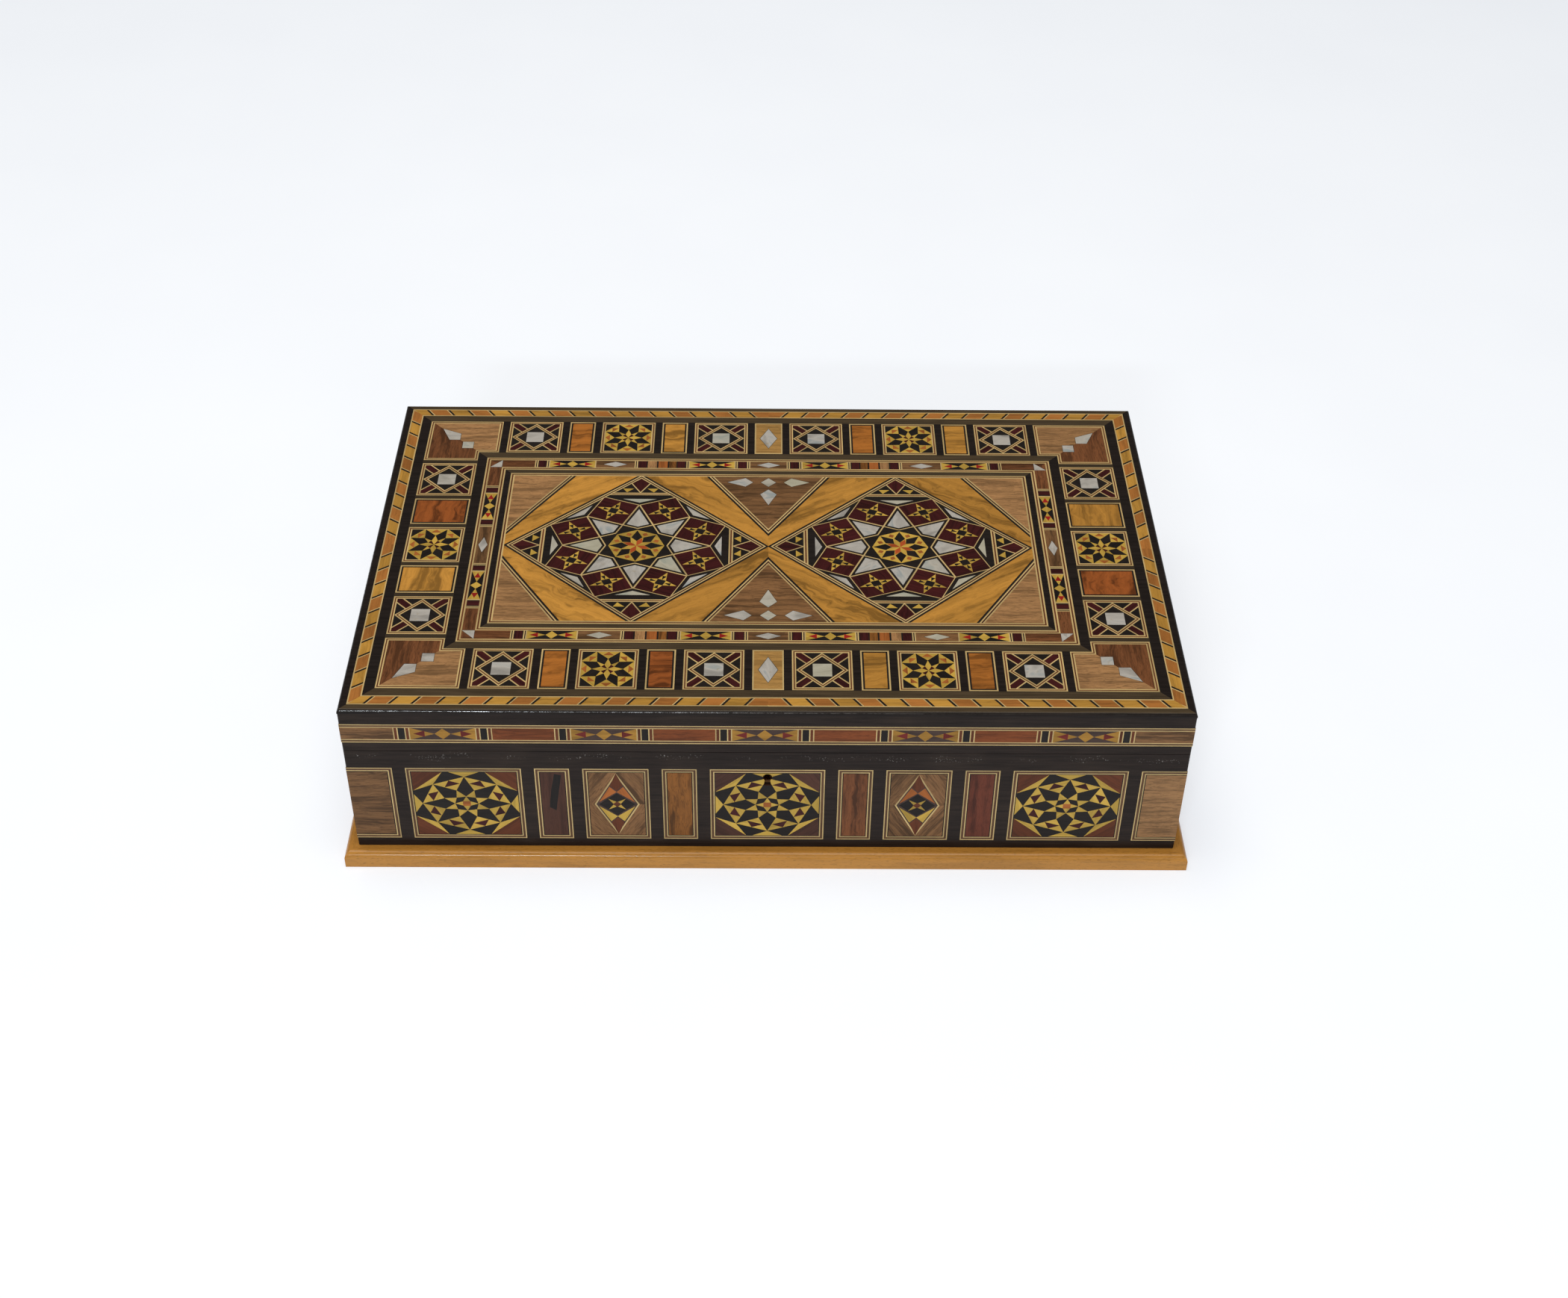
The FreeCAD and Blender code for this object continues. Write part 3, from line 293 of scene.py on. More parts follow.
# Each wood's colour, contrast, streaks, pores and, where it is more than a little, sway.
WOODS = {
    "ebony": (30, 25, 23, 0.3, 0.9, 0.15),
    "brown_black": (70, 54, 48, 0.3, 1.4, 0.3),
    "cream": (194, 168, 116, 0.16, 1.5, 0.12),
    "yellow": (188, 154, 68, 0.2, 0.8, 0.08),
    "wheat": (180, 134, 58, 0.28, 0.8, 0.15),
    "straw": (160, 122, 68, 0.3, 1.0, 0.4),
    "ochre": (158, 116, 48, 0.25, 0.8, 0.15),
    "orange": (156, 90, 42, 0.28, 1.0, 0.15),
    "tan": (164, 106, 50, 0.22, 0.9, 0.22),
    "wine": (60, 18, 19, 0.4, 1.2, 0.3),
    "cherry": (104, 34, 30, 0.2, 1.2, 0.2),
    "scarlet": (150, 30, 26, 0.2, 1.2, 0.2),
    "brick": (168, 76, 36, 0.2, 1.2, 0.15),
    "russet": (96, 50, 28, 0.25, 1.2, 0.25),
    "light_walnut": (162, 121, 80, 0.4, 0.9, 0.7),
    "walnut": (110, 68, 40, 0.5, 0.8, 0.7),
    "grey_walnut": (120, 86, 55, 0.55, 0.7, 0.7),
    "golden": (182, 130, 56, 0.5, 0.34, 0.2, 2.0),
    "olive": (156, 96, 38, 0.45, 0.42, 0.15, 2.0),
    "red_olive": (136, 74, 32, 0.6, 0.5, 0.2, 2.6),
    "amber": (124, 78, 34, 0.6, 0.7, 0.5, 0.8),
    "chestnut": (104, 62, 36, 0.6, 0.7, 0.5, 0.8),
    "redwood": (92, 46, 32, 0.5, 0.8, 0.4),
    "umber": (92, 66, 46, 0.3, 1.2, 0.3),
    "padauk": (122, 64, 32, 0.45, 0.8, 0.5),
    "rosewood": (74, 46, 36, 0.3, 0.9, 0.3),
}
FINISHES = {name: wood(name, colour(*look[:3]), *look[3:]) for name, look in WOODS.items()}
FINISHES["pearl"] = pearl("pearl", colour(172, 168, 162))

beech_across, beech_away = (
    wood(name, colour(186, 130, 56), 0.16, 0.7, 0.12, 0.5, grain, flecks=0.45, coat=0.4)
    for name, grain in (("beech_across", ACROSS), ("beech_away", AWAY))
)
carcase_across, carcase_away = (
    wood(name, colour(150, 108, 70), 0.25, 0.6, 0.3, 0.5, grain, coat=0.05)
    for name, grain in (("carcase_across", ACROSS), ("carcase_away", AWAY))
)
brass = metal("brass", colour(206, 164, 88), 0.2, 0.42, 3.0)
steel = metal("steel", colour(176, 176, 180), 0.22, 0.4, 3.0)
velvet = fibre("velvet", colour(104, 16, 30), 0.9, 5.0, 0.35)
felt = fibre("felt", colour(34, 62, 44), 0.35, 2.2, 0.2)


# The plan of the box, in millimetres, from the frame ----------


def span(node):
    """A CAD node's lowest and highest corners, in millimetres."""
    low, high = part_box(node)
    return low / MM, high / MM


HALF_LENGTH, HALF_DEPTH, TOP = span("top_ground")[1]
rope_low, rope_high = span("rope_band")
band_high, field_high = span("inner_band")[1], span("central_field")[1]
INLAY_DEPTH = TOP - rope_low.z
ROPE_WIDTH = 4.4
TILE = 20.5
ROW, COLUMN = 66.95, 118.95
CORNER_LENGTH, CORNER_DEPTH = 129.2, 77.2
CORNER_GAP = 1.6
BAND_WIDTH = 7.5
FRAME_WIDTH = 1.55
EDGE, BRIM = field_high.x - FRAME_WIDTH, field_high.y - FRAME_WIDTH
REACH = EDGE / 2
SHRINK = 0.92
ROSETTE = 10.0
TRIANGLE_APEX, TRIANGLE_REACH = 6.0, 22.9
PANEL_LOW, PANEL_HIGH = (corner.z for corner in span("front_star_panels"))
PANEL_HEIGHT, PANEL_MIDDLE = PANEL_HIGH - PANEL_LOW, (PANEL_LOW + PANEL_HIGH) / 2
LID_BAND_LOW, LID_BAND_HIGH = (corner.z for corner in span("lid_band_front"))

dark_front, pale_front = colour(30, 23, 20), colour(52, 42, 35)


def painted_sheen_strips(made, place):
    """Painted sheen on the top's ground: a paler colour on strips whose grain runs across, and on the gaps in
    the side rows.
    """
    x, y, z = made.add("SeparateXYZ", place).outputs
    across, away = made.maths("ABSOLUTE", x), made.maths("ABSOLUTE", y)
    front_or_back = made.maths("GREATER_THAN", away, made.maths("SUBTRACT", across, HALF_LENGTH - HALF_DEPTH))
    from_row = made.maths("ABSOLUTE", made.maths("SUBTRACT", away, ROW))
    from_column = made.maths("ABSOLUTE", made.maths("SUBTRACT", across, COLUMN))
    off_row = made.maths("GREATER_THAN", from_row, TILE / 2)
    in_column = made.maths("LESS_THAN", from_column, TILE / 2)
    pale = made.maths("MAXIMUM", made.product(front_or_back, off_row), made.product(in_column, off_row, 0.6))
    return made.product(pale, made.spread(z, TOP - 0.2, TOP - 0.04))


def edge_gleam(made, place):
    """How the top's ground shines: faintly, but for a thin broken line along the rounded front edge."""
    x, y, z = made.add("SeparateXYZ", place).outputs
    above = made.spread(z, TOP - 0.8, TOP - 0.68)
    below = made.spread(z, TOP - 0.4, TOP - 0.3, 1.0, 0.0)
    leftward = made.spread(x, -30.0, 60.0, 1.0, 0.15)
    frontward = made.maths("LESS_THAN", y, 0.0)
    stretches = made.spread(made.noise(place, 0.05, 2.0), 0.4, 0.6, 0.3, 1.0)
    breaks = made.spread(made.noise(place, 0.6, 3.0, 0.7), 0.42, 0.56)
    share = made.product(breaks, above, below, leftward, frontward, stretches)
    return made.spread(share, 0.0, 1.0, 0.06, 1.0)


# The walls' ground; the one whose grain runs across carries painted glints below the parting line.
ground_across = ground("ground_across", dark_front, pale_front, grain=ACROSS, with_painted_glints=True)
ground_away = ground("ground_away", dark_front, pale_front, grain=AWAY)
# The top's ground: its pale strips are painted sheen, and its coat gleams on the rounded front edge.
ground_top = ground("ground_top", colour(26, 21, 19), colour(72, 60, 44), painted_sheen_strips, edge_gleam)


# Flat outlines ----------


def rectangle(width, height, middle=(0, 0)):
    """A rectangle about its middle."""
    x, y = middle
    return corners(x - width / 2, y - height / 2, x + width / 2, y + height / 2)


def corners(x0, y0, x1, y1):
    """A rectangle from its lowest corner to its highest."""
    return [(x0, y0), (x1, y0), (x1, y1), (x0, y1)]


def box_outline(corner, opposite):
    """A rectangle from any corner to the opposite one."""
    (x0, x1), (y0, y1) = (sorted(pair) for pair in zip(corner, opposite, strict=True))
    return corners(x0, y0, x1, y1)


def cut_level(outline, limit):
    """The part of an outline between -limit and limit."""
    for sign in (1, -1):
        kept = []
        for (x0, y0), (x1, y1) in zip(outline, outline[1:] + outline[:1], strict=True):
            room, next_room = limit - sign * y0, limit - sign * y1
            if room >= 0:
                kept.append((x0, y0))
            if room * next_room < 0:
                share = room / (room - next_room)
                kept.append((x0 + (x1 - x0) * share, y0 + (y1 - y0) * share))
        outline = kept
    return outline


def rhombus(half_width, half_height, middle=(0, 0)):
    x, y = middle
    return [(x + half_width, y), (x, y + half_height), (x - half_width, y), (x, y - half_height)]


def winding(points):
    """1 for an outline that runs anticlockwise, -1 for one that runs clockwise."""
    area = sum(p.x * q.y - q.x * p.y for p, q in zip(points, points[1:] + points[:1], strict=True))
    return 1 if area > 0 else -1


def inset(outline, distance):
    """The outline moved inwards by a distance, its corners kept sharp."""
    points = [Vector(p) for p in outline]
    turn = winding(points)
    moved = []
    for k, here in enumerate(points):
        before = (here - points[k - 1]).normalized()
        after = (points[(k + 1) % len(points)] - here).normalized()
        inward = Vector((-before.y - after.y, before.x + after.x)) * turn
        moved.append(here + inward * (distance / (1 + before.dot(after))))
    return [tuple(p) for p in moved]


def mitred(outline, inner):
    """The strips between an outline and a smaller one inside it, one to a side."""
    following = [*range(1, len(outline)), 0]
    return [[outline[k], outline[after], inner[after], inner[k]] for k, after in enumerate(following)]


def stretched(outline, across, up):
    """The outline scaled about the middle."""
    return [(x * across, y * up) for x, y in outline]


def shifted(outline, across, up):
    return [(x + across, y + up) for x, y in outline]


def turned(outline, degrees):
    c, s = math.cos(math.radians(degrees)), math.sin(math.radians(degrees))
    return [(x * c - y * s, x * s + y * c) for x, y in outline]


def flipped(outline):
    """The outline mirrored from left to right."""
    return [(-x, y) for x, y in outline]


def flattened(outline, middle):
    """An outline drawn about a medallion's middle as it lies on the top: flattened, and moved there."""
    return shifted(stretched(outline, 1, SHRINK), middle, 0)


def around(outline, count, mirrored=False):
    """The outline repeated about the middle, and its mirror image too if asked."""
    for k in range(count):
        yield turned(outline, 360 * k / count)
        if mirrored:
            yield turned(flipped(outline), 360 * k / count)


def at_angle(radius, degrees):
    return (radius * math.cos(math.radians(degrees)), radius * math.sin(math.radians(degrees)))


def medial(outline):
    """The triangle between the middles of a triangle's sides."""
    a, b, c = (Vector(p) for p in outline)
    return [tuple((a + b) / 2), tuple((b + c) / 2), tuple((c + a) / 2)]


def stripe(start, end, left, right):
    """The strip from start to end between two distances to its left."""
    start, end = Vector(start), Vector(end)
    ahead = (end - start).normalized()
    side = Vector((-ahead.y, ahead.x))
    steps = ((start, left), (end, left), (end, right), (start, right))
    return [tuple(point + side * distance) for point, distance in steps]


# Pictures in wood ----------


class Picture:
    """A flat design. Each layer covers the ones before it, inside the layer that it is cut to."""

    def __init__(self, outline, finish, grain=None):
        self.layers = []
        self.lay(outline, finish, grain, inside=None)

    def lay(self, outline, finish, grain=None, inside=0):
        """Adds an outline of one wood, its grain at an angle in degrees or else along its longest side."""
        points = [Vector(p) for p in outline][:: winding([Vector(p) for p in outline])]
        if grain is None:
            sides = [q - p for p, q in zip(points, points[1:] + points[:1], strict=True)]
            longest = max(sides, key=lambda side: round(side.length, 3))
            grain = math.degrees(math.atan2(longest.y, longest.x))
        self.layers.append((points, finish, grain, inside, tones.random()))
        return len(self.layers) - 1

    def lay_all(self, outlines, finish, grain=None, inside=0):
        for outline in outlines:
            self.lay(outline, finish, grain, inside)

    def inlay_pearl(self, outline, margin, grain=None):
        """Pearl with a thin dark line about it."""
        self.lay(inset(outline, -margin), "ebony", grain)
        self.lay(outline, "pearl", grain)

    def border(self, outline, lines, inside=0):
        """Lines of wood inside an outline, mitred at its corners. Gives back the outline they leave."""
        for finish, width in lines:
            inner = inset(outline, width)
            self.lay_all(mitred(outline, inner), finish, inside=inside)
            outline = inner
        return outline

    def ruled(self, start, end, lines, from_left=0.0, inside=0):
        """Lines of wood beside each other from start to end, from a distance to the left on to the right."""
        for finish, width in lines:
            self.lay(stripe(start, end, from_left, from_left - width), finish, inside=inside)
            from_left -= width


class Medallion(Picture):
    """A part of a picture, drawn about its own middle and laid there flattened."""

    def __init__(self, picture, middle):
        self.picture, self.middle = picture, middle

    def lay(self, outline, finish, grain=None, inside=0):
        return self.picture.lay(flattened(outline, self.middle), finish, grain, inside)


class Surface:
    """A flat face of the box: where its middle or corner lies, its two directions and the way it faces."""

    def __init__(self, origin, across, up, out):
        self.origin = Vector(origin)
        self.across = Vector(across)
        self.up = Vector(up)
        self.out = Vector(out)

    def point(self, x, y, below=0.0):
        return (self.origin + self.across * x + self.up * y - self.out * below) * MM

    def moved(self, x, y):
        return Surface(self.origin + self.across * x + self.up * y, self.across, self.up, self.out)

    def direction(self, degrees):
        c, s = math.cos(math.radians(degrees)), math.sin(math.radians(degrees))
        return (self.across * c + self.up * s).normalized()


MEETING = 1e-4
DISJOINT_CELLS = 4
HOLE = None


def is_laid(picture, k, sources):
    """Whether a layer is there and, step by step, every layer that it is cut to."""
    return k is None or (k in sources and is_laid(picture, picture.layers[k][3], sources))


def shown_layer(picture, sources):
    """The highest layer laid at a spot, counted from 0. sources are the layers whose outlines cover it."""
    return max((k for k in sources if is_laid(picture, k, sources)), default=0)


def rims_of(faces):
    """The loops of corners around the faces' open edges."""
    edges = {(face[k - 1], face[k]) for face in faces for k in range(len(face))}
    following = {a: b for a, b in sorted(edges) if (b, a) not in edges}
    rims = []
    while following:
        rim = [min(following)]
        while following[rim[-1]] != rim[0]:
            rim.append(following.pop(rim[-1]))
        following.pop(rim[-1])
        rims.append(rim)
    return rims


def put_in_scene(name, mesh, body, node):
    """Turns a closed mesh's faces outwards. The piece rides a body and stands for a CAD node."""
    shape = bmesh.new()
    shape.from_mesh(mesh)
    bmesh.ops.recalc_face_normals(shape, faces=shape.faces)
    shape.to_mesh(mesh)
    shape.free()
    piece = bpy.data.objects.new(name, mesh)
    bpy.context.collection.objects.link(piece)
    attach(piece, body)
    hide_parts(node)
    return piece


def picture_cells(picture, outline):
    """The picture's visible cells inside an outline: their points, corners and layers."""
    spans = [(min(p[axis] for p in outline), max(p[axis] for p in outline)) for axis in (0, 1)]
    points, faces, meaning = list(outline), [list(range(len(outline)))], [None]
    for k, (shape, *_rest) in enumerate(picture.layers):
        near = (
            min(p[axis] for p in shape) <= high and max(p[axis] for p in shape) >= low
            for axis, (low, high) in enumerate(spans)
        )
        if all(near):
            faces.append(list(range(len(points), len(points) + len(shape))))
            points += shape
            meaning.append(k)
    flat, _, cells, _, _, over = delaunay_2d_cdt(points, [], faces, DISJOINT_CELLS, MEETING)
    shown, layers = [], []
    for cell, sources in zip(cells, over, strict=True):
        if 0 not in sources:
            continue
        layer = shown_layer(picture, {meaning[s] for s in sources if s != 0})
        if picture.layers[layer][1] is not HOLE:
            shown.append(list(cell))
            layers.append(layer)
    used = sorted({v for cell in shown for v in cell})
    index = {v: k for k, v in enumerate(used)}
    return [flat[v] for v in used], [[index[v] for v in cell] for cell in shown], layers


def slab(name, picture, surface, body, node, outline=None):
    """A thin closed piece of marquetry: the picture cut to the outline, INLAY_DEPTH thick."""
    outline = [Vector(p) for p in (outline or picture.layers[0][0])]
    flat, faces, layers = picture_cells(picture, outline[:: winding(outline)])
    vertices = [surface.point(p.x, p.y) for p in flat]
    underside = [list(reversed(cell)) for cell in faces]
    rims = rims_of(faces)
    if len(rims) == 1:
        underside = [list(reversed(rims[0]))]
    below = {v: len(vertices) + k for k, v in enumerate(sorted({v for face in underside for v in face}))}
    vertices += [surface.point(flat[v].x, flat[v].y, INLAY_DEPTH) for v in below]
    for rim in rims:
        faces += [[rim[k - 1], below[rim[k - 1]], below[v], v] for k, v in enumerate(rim)]
    faces += [[below[v] for v in face] for face in underside]
    layers += [0] * (len(faces) - len(layers))

    mesh = bpy.data.meshes.new(name)
    mesh.from_pydata(vertices, [], faces)
    finishes = sorted({picture.layers[k][1] for k in layers})
    for finish in finishes:
        mesh.materials.append(FINISHES[finish])
    mesh.attributes.new("grain", "FLOAT_VECTOR", "FACE")
    mesh.attributes.new("tone", "FLOAT", "FACE")
    for face, k in enumerate(layers):
        _, finish, angle, _, tone = picture.layers[k]
        mesh.polygons[face].material_index = finishes.index(finish)
        mesh.attributes["grain"].data[face].vector = surface.direction(angle)
        mesh.attributes["tone"].data[face].value = tone
    return put_in_scene(name, mesh, body, node)


# Lines of wood beside each other, from the outside in: each line's wood and width.
HAIR = ("ebony", 0.17)
STRINGING = (HAIR, ("cream", 0.46), ("russet", 0.42), ("cream", 0.46))
PANEL_STRINGING = (("cream", 0.36), ("umber", 0.75), ("cream", 0.36), ("ebony", 0.3))
LID_LINES = (("cream", 0.36), ("umber", 0.7), ("cream", 0.36))
MEDALLION_LINES = (("ebony", 0.8), ("cream", 0.5), ("wine", 0.5), ("cream", 0.5))
DOUBLE = (("cream", 0.52), ("russet", 0.51), ("cream", 0.52))


# The designs ----------


def star_tile():
    """An eight-pointed star of ebony kites on yellow."""
    picture = Picture(rectangle(TILE, TILE), "yellow")
    inner = picture.border(rectangle(TILE, TILE), STRINGING)
    half = inner[2][0]
    edge, cross, hub, elbow = (0.44, 1.0), (0.0, 0.594), (0.126, 0.251), (0.423, 0.423)

    def lay(outline, finish, mirrored=False):
        picture.lay_all(around(stretched(outline, half, half), 4, mirrored), finish)

    lay([edge, (1, 1), (1, 0.44)], "yellow")
    lay([(0.48, 1), (1, 1), (1, 0.48)], "ebony")
    lay([elbow, edge, (1, 0.44)], "yellow")
    lay(medial([elbow, edge, (1, 0.44)]), "orange")
    lay([(-0.44, 1), cross, edge], "yellow")
    lay(medial([(-0.44, 1), cross, edge]), "orange")
    lay([edge, cross, hub, elbow], "ebony", mirrored=True)
    lay([(0, 0), hub, cross, (-hub[0], hub[1])], "yellow")
    lay([hub, (hub[1], hub[0]), elbow], "yellow")
    lay([(0, 0), hub, (hub[1], hub[0])], "wine")
    return picture


def pearl_square_tile():
    """A lined diamond about a square of pearl, with wine strips running to the corners."""
    picture = Picture(rectangle(TILE, TILE), "ebony")
    inner = picture.border(rectangle(TILE, TILE), STRINGING)
    half = inner[2][0]
    bed = picture.lay(inner, "ebony")
    for corner in around([(half, half)], 4):
        strips = (("cream", 0.45), ("wine", 2.4), ("cream", 0.45))
        picture.ruled((0, 0), corner[0], strips, from_left=1.65, inside=bed)
    diamond = rhombus(half, half)
    picture.lay(diamond, "ebony")
    picture.border(diamond, (("cream", 0.45), ("russet", 0.42), ("cream", 0.45)))
    picture.lay(rectangle(6.4, 6.4), "pearl")
    return picture


def olive_tile(x, y):
    """A plain tile of figured golden wood, at a place on the top: narrow in the rows, wide in the columns."""
    in_row = abs(y) == ROW
    outline = rectangle(10.0, TILE) if in_row else rectangle(TILE, 15.5)
    grain, finish = 4 if in_row else 86, OLIVE_FINISHES.get((x, y), "golden")
    picture = Picture(outline, finish, grain)
    picture.lay(picture.border(outline, (HAIR, ("cream", 0.5), ("ebony", 0.6))), finish, grain)
    return picture


# The redder ones among the golden tiles, by their places on the top.
OLIVE_FINISHES = {
    (-COLUMN, 19.7): "red_olive",
    (COLUMN, -19.7): "red_olive",
    (-71.0, -ROW): "olive",
    (-35.7, -ROW): "red_olive",
    (71.0, -ROW): "olive",
    (-71.0, ROW): "olive",
    (35.7, ROW): "olive",
}


def pearl_diamond_tile():
    """A rhombus of pearl on light walnut."""
    outline = rectangle(10.8, TILE)
    picture = Picture(outline, "straw", 0)
    picture.lay(picture.border(outline, (HAIR, ("cream", 0.5))), "straw", 0)
    picture.lay(rhombus(3.4, 6.7), "ebony")
    picture.lay(rhombus(3.2, 6.4), "pearl")
    return picture


def corner_panel(width, depth):
    """The notched panel in a corner of the top: two walnuts that meet on the mitre, and pearl."""
    outline = [(0, 0), (width, 0), (width, TILE), (TILE, TILE), (TILE, depth), (0, depth)]
    picture = Picture(outline, "walnut", 90)
    bed = picture.lay(picture.border(outline, STRINGING), "walnut", 90)
    picture.lay([(0, 0), (width, 0), (width, width)], "light_walnut", 0, inside=bed)
    kite = [(5.2, 5.2), (12.3, 8.3), (12.3, 12.3), (8.3, 12.3)]
    square = rectangle(4.1, 4.1, (15.7, 15.7))
    for shape in (kite, square):
        picture.inlay_pearl(shape, 0.12)
    return picture


def rope_half(length):
    """Half a side of the rope border, from its middle to the mitre: slanted blocks by turns."""
    outline = [(0, 0), (length, 0), (length - ROPE_WIDTH, ROPE_WIDTH), (0, ROPE_WIDTH)]
    picture = Picture(outline, "wheat")
    slash = [("cream", 0.42), ("ebony", 0.9)]
    block = [("tan", 6.4), *slash, ("wheat", 6.45), *reversed(slash)]
    start, lean, line = -2.45, 0.7 * ROPE_WIDTH, 0.42
    while start < length + ROPE_WIDTH:
        for finish, width in block:
            end = start + width
            slant = [(start + lean, 0), (end + lean, 0), (end, ROPE_WIDTH), (start, ROPE_WIDTH)]
            picture.lay(slant, finish, 0)
            start = end
    for low in (0, ROPE_WIDTH - line):
        picture.lay(corners(0, low, length, low + line), "cream", 0)
    return picture


HOURGLASS_WOODS = {"ebony": ("yellow", "scarlet"), "brown_black": ("ochre", "cherry")}


def hourglass(picture, middle, half_length, half_height, bed="ebony"):
    """Two pale wedges point at a pale diamond between them, each with a small red wedge on it."""
    pale, red = HOURGLASS_WOODS[bed]
    x, y = middle
    nose = 0.245 * half_length
    picture.lay(rectangle(2 * half_length, 2 * half_height, middle), bed, 0)
    for way in (-1, 1):
        wedge = [(way * nose, 0), (way * half_length, -half_height), (way * half_length, half_height)]
        picture.lay(shifted(wedge, x, y), pale, 0)
        base, height = 0.55 * half_length, 0.55 * half_height
        dart = [(way * 0.9 * half_length, 0), (way * base, -height), (way * base, height)]
        picture.lay(shifted(dart, x, y), red, 0)
    picture.lay(rhombus(nose, 0.92 * half_height, middle), pale, 0)


def sequence(picture, low, high, steps):
    """Upright bars along a band, both ways from its middle. A step is where a bar ends and what it is."""
    start, level = 0.0, (low + high) / 2
    for end, what in steps:
        spans = ((-end, -start), (start, end)) if start else ((-end, end),)
        for left, right in spans:
            middle = ((left + right) / 2, level)
            bar = corners(left, low, right, high)
            if what == "motif":
                hourglass(picture, middle, (right - left) / 2, (high - low) / 2)
            elif what == "pearl":
                picture.lay(bar, "grey_walnut", 0)
                picture.inlay_pearl(rhombus(4.3, 1.6, middle), 0.1, 0)
            else:
                picture.lay(bar, what, 0 if what == "walnut" else 90)
        start = end


BARS = [("cream", 0.42), ("ebony", 0.36), ("cream", 0.42)]


def steps_of(*parts):
    """Ends along a band from widths: each part is a finish and a width, or a list of them."""
    end, steps = 0.0, []
    for part in parts:
        for what, width in part if isinstance(part, list) else [part]:
            end += width
            steps.append((end, what))
    return steps


LONG_BAND = steps_of(
    ("pearl", 6.8), BARS, ("ebony", 0.3), ("wine", 2.9), ("ebony", 0.3), BARS, ("motif", 16.8),
    BARS, ("ebony", 0.4), ("wine", 2.9), ("ebony", 0.4), ("amber", 2.7), ("ebony", 0.6), ("orange", 3.4),
    ("ebony", 0.6), ("light_walnut", 3.4), ("ebony", 0.5), ("wine", 2.9), ("ebony", 0.3), BARS,
    ("pearl", 14.4), ("cream", 0.42), ("motif", 16.8), BARS, ("ebony", 0.3), ("wine", 2.6), ("ebony", 0.3),
    BARS, ("walnut", 26.0),
)
SHORT_BAND = steps_of(
    ("pearl", 10.6), BARS, ("ebony", 0.4), ("wine", 2.2), ("ebony", 0.4), ("cream", 0.5), ("motif", 15.4),
    ("cream", 0.5), ("ebony", 0.6), ("wine", 2.2), ("ebony", 0.4), BARS, ("walnut", 26.0),
)


def inner_band(length, steps):
    """One mitred side of the band about the field, from -length to length along its outer edge."""
    near, far = FRAME_WIDTH + 0.05, BAND_WIDTH - FRAME_WIDTH - 0.05
    inner = length - BAND_WIDTH
    outline = [(-length, 0), (length, 0), (inner, BAND_WIDTH), (-inner, BAND_WIDTH)]
    picture = Picture(outline, "walnut", 0)
    sequence(picture, near, far, steps)
    for way in (-1, 1):
        shape = [(way * (length - near), far), (way * (length - far), far), (way * (length - far), near)]
        picture.inlay_pearl(shape, 0.1, 0)
    for outer_line in (FRAME_WIDTH, BAND_WIDTH):
        picture.ruled((-length, 0), (length, 0), DOUBLE, from_left=outer_line)
    return picture


def lid_band(length, middles):
    """The band along an edge of the lid: hourglass motifs between padauk panels, walnut to the corners."""
    height = LID_BAND_HIGH - LID_BAND_LOW
    picture = Picture(corners(-length, 0, length, height), "grey_walnut", 0)
    line, half_motif = 1.42, 10.7
    bars = [("cream", 0.38), ("russet", 0.9), ("cream", 0.38), ("ebony", 2.2)]
    bars += [("cream", 0.38), ("russet", 0.9), ("cream", 0.38)]
    picture.lay(corners(middles[0], line, middles[-1], height - line), "padauk", 0)
    for middle in middles:
        hourglass(picture, (middle, height / 2), half_motif, height / 2 - line, "brown_black")
        for way in (-1, 1):
            start = half_motif
            for finish, width in bars:
                near, far = middle + way * start, middle + way * (start + width)
                picture.lay(box_outline((near, line), (far, height - line)), finish, 90)
                start += width
    for outer_line in (line, height):
        picture.ruled((-length, 0), (length, 0), LID_LINES, from_left=outer_line)
    return picture


def front_star_panel(width, centre_corner):
    """A large eight-pointed star: kites about a small yellow star, in a ring of triangles."""
    picture = Picture(rectangle(width, PANEL_HEIGHT), centre_corner)
    inner = picture.border(rectangle(width, PANEL_HEIGHT), PANEL_STRINGING)
    half_width, half_height = inner[2]
    bed = picture.lay(inner, "ebony")
    edge, cap, bend = (-0.41, 1), (0, 0.85), (-0.61, 0.61)
    wing, tip, corner_tip = (-0.17, 0.42), (0, 0.225), (-0.185, 0.185)

    def lay(outline, finish, mirrored=False):
        for shape in around(outline, 4, mirrored):
            picture.lay(stretched(shape, half_width, half_height), finish, inside=bed)

    lay([edge, (-1, 1), (-1, 0.41)], centre_corner)
    lay([edge, bend, (-1, 0.41)], "yellow")
    lay([(-0.29, 1), cap, (0.29, 1)], "yellow")
    lay([cap, wing, bend], "yellow", mirrored=True)
    lay(medial([cap, wing, bend]), "wine", mirrored=True)
    lay([wing, corner_tip, tip], "yellow", mirrored=True)
    lay([tip, (-0.07, 0.07), (0, 0), (0.07, 0.07)], "yellow")
    lay(rectangle(0.15, 0.15), "orange")
    return picture


def cut_keyhole(picture):
    """The keyhole: a round eye above a slot that widens downwards."""
    eye, radius, foot, half_neck, half_foot = 39.15 - PANEL_MIDDLE, 1.55, 35.4 - PANEL_MIDDLE, 0.75, 1.25
    circle = [at_angle(radius, 15 * k) for k in range(24)]
    picture.lay(shifted(circle, 0, eye), HOLE, 0)
    picture.lay([(-half_foot, foot), (half_foot, foot), (half_neck, eye), (-half_neck, eye)], HOLE, 0)


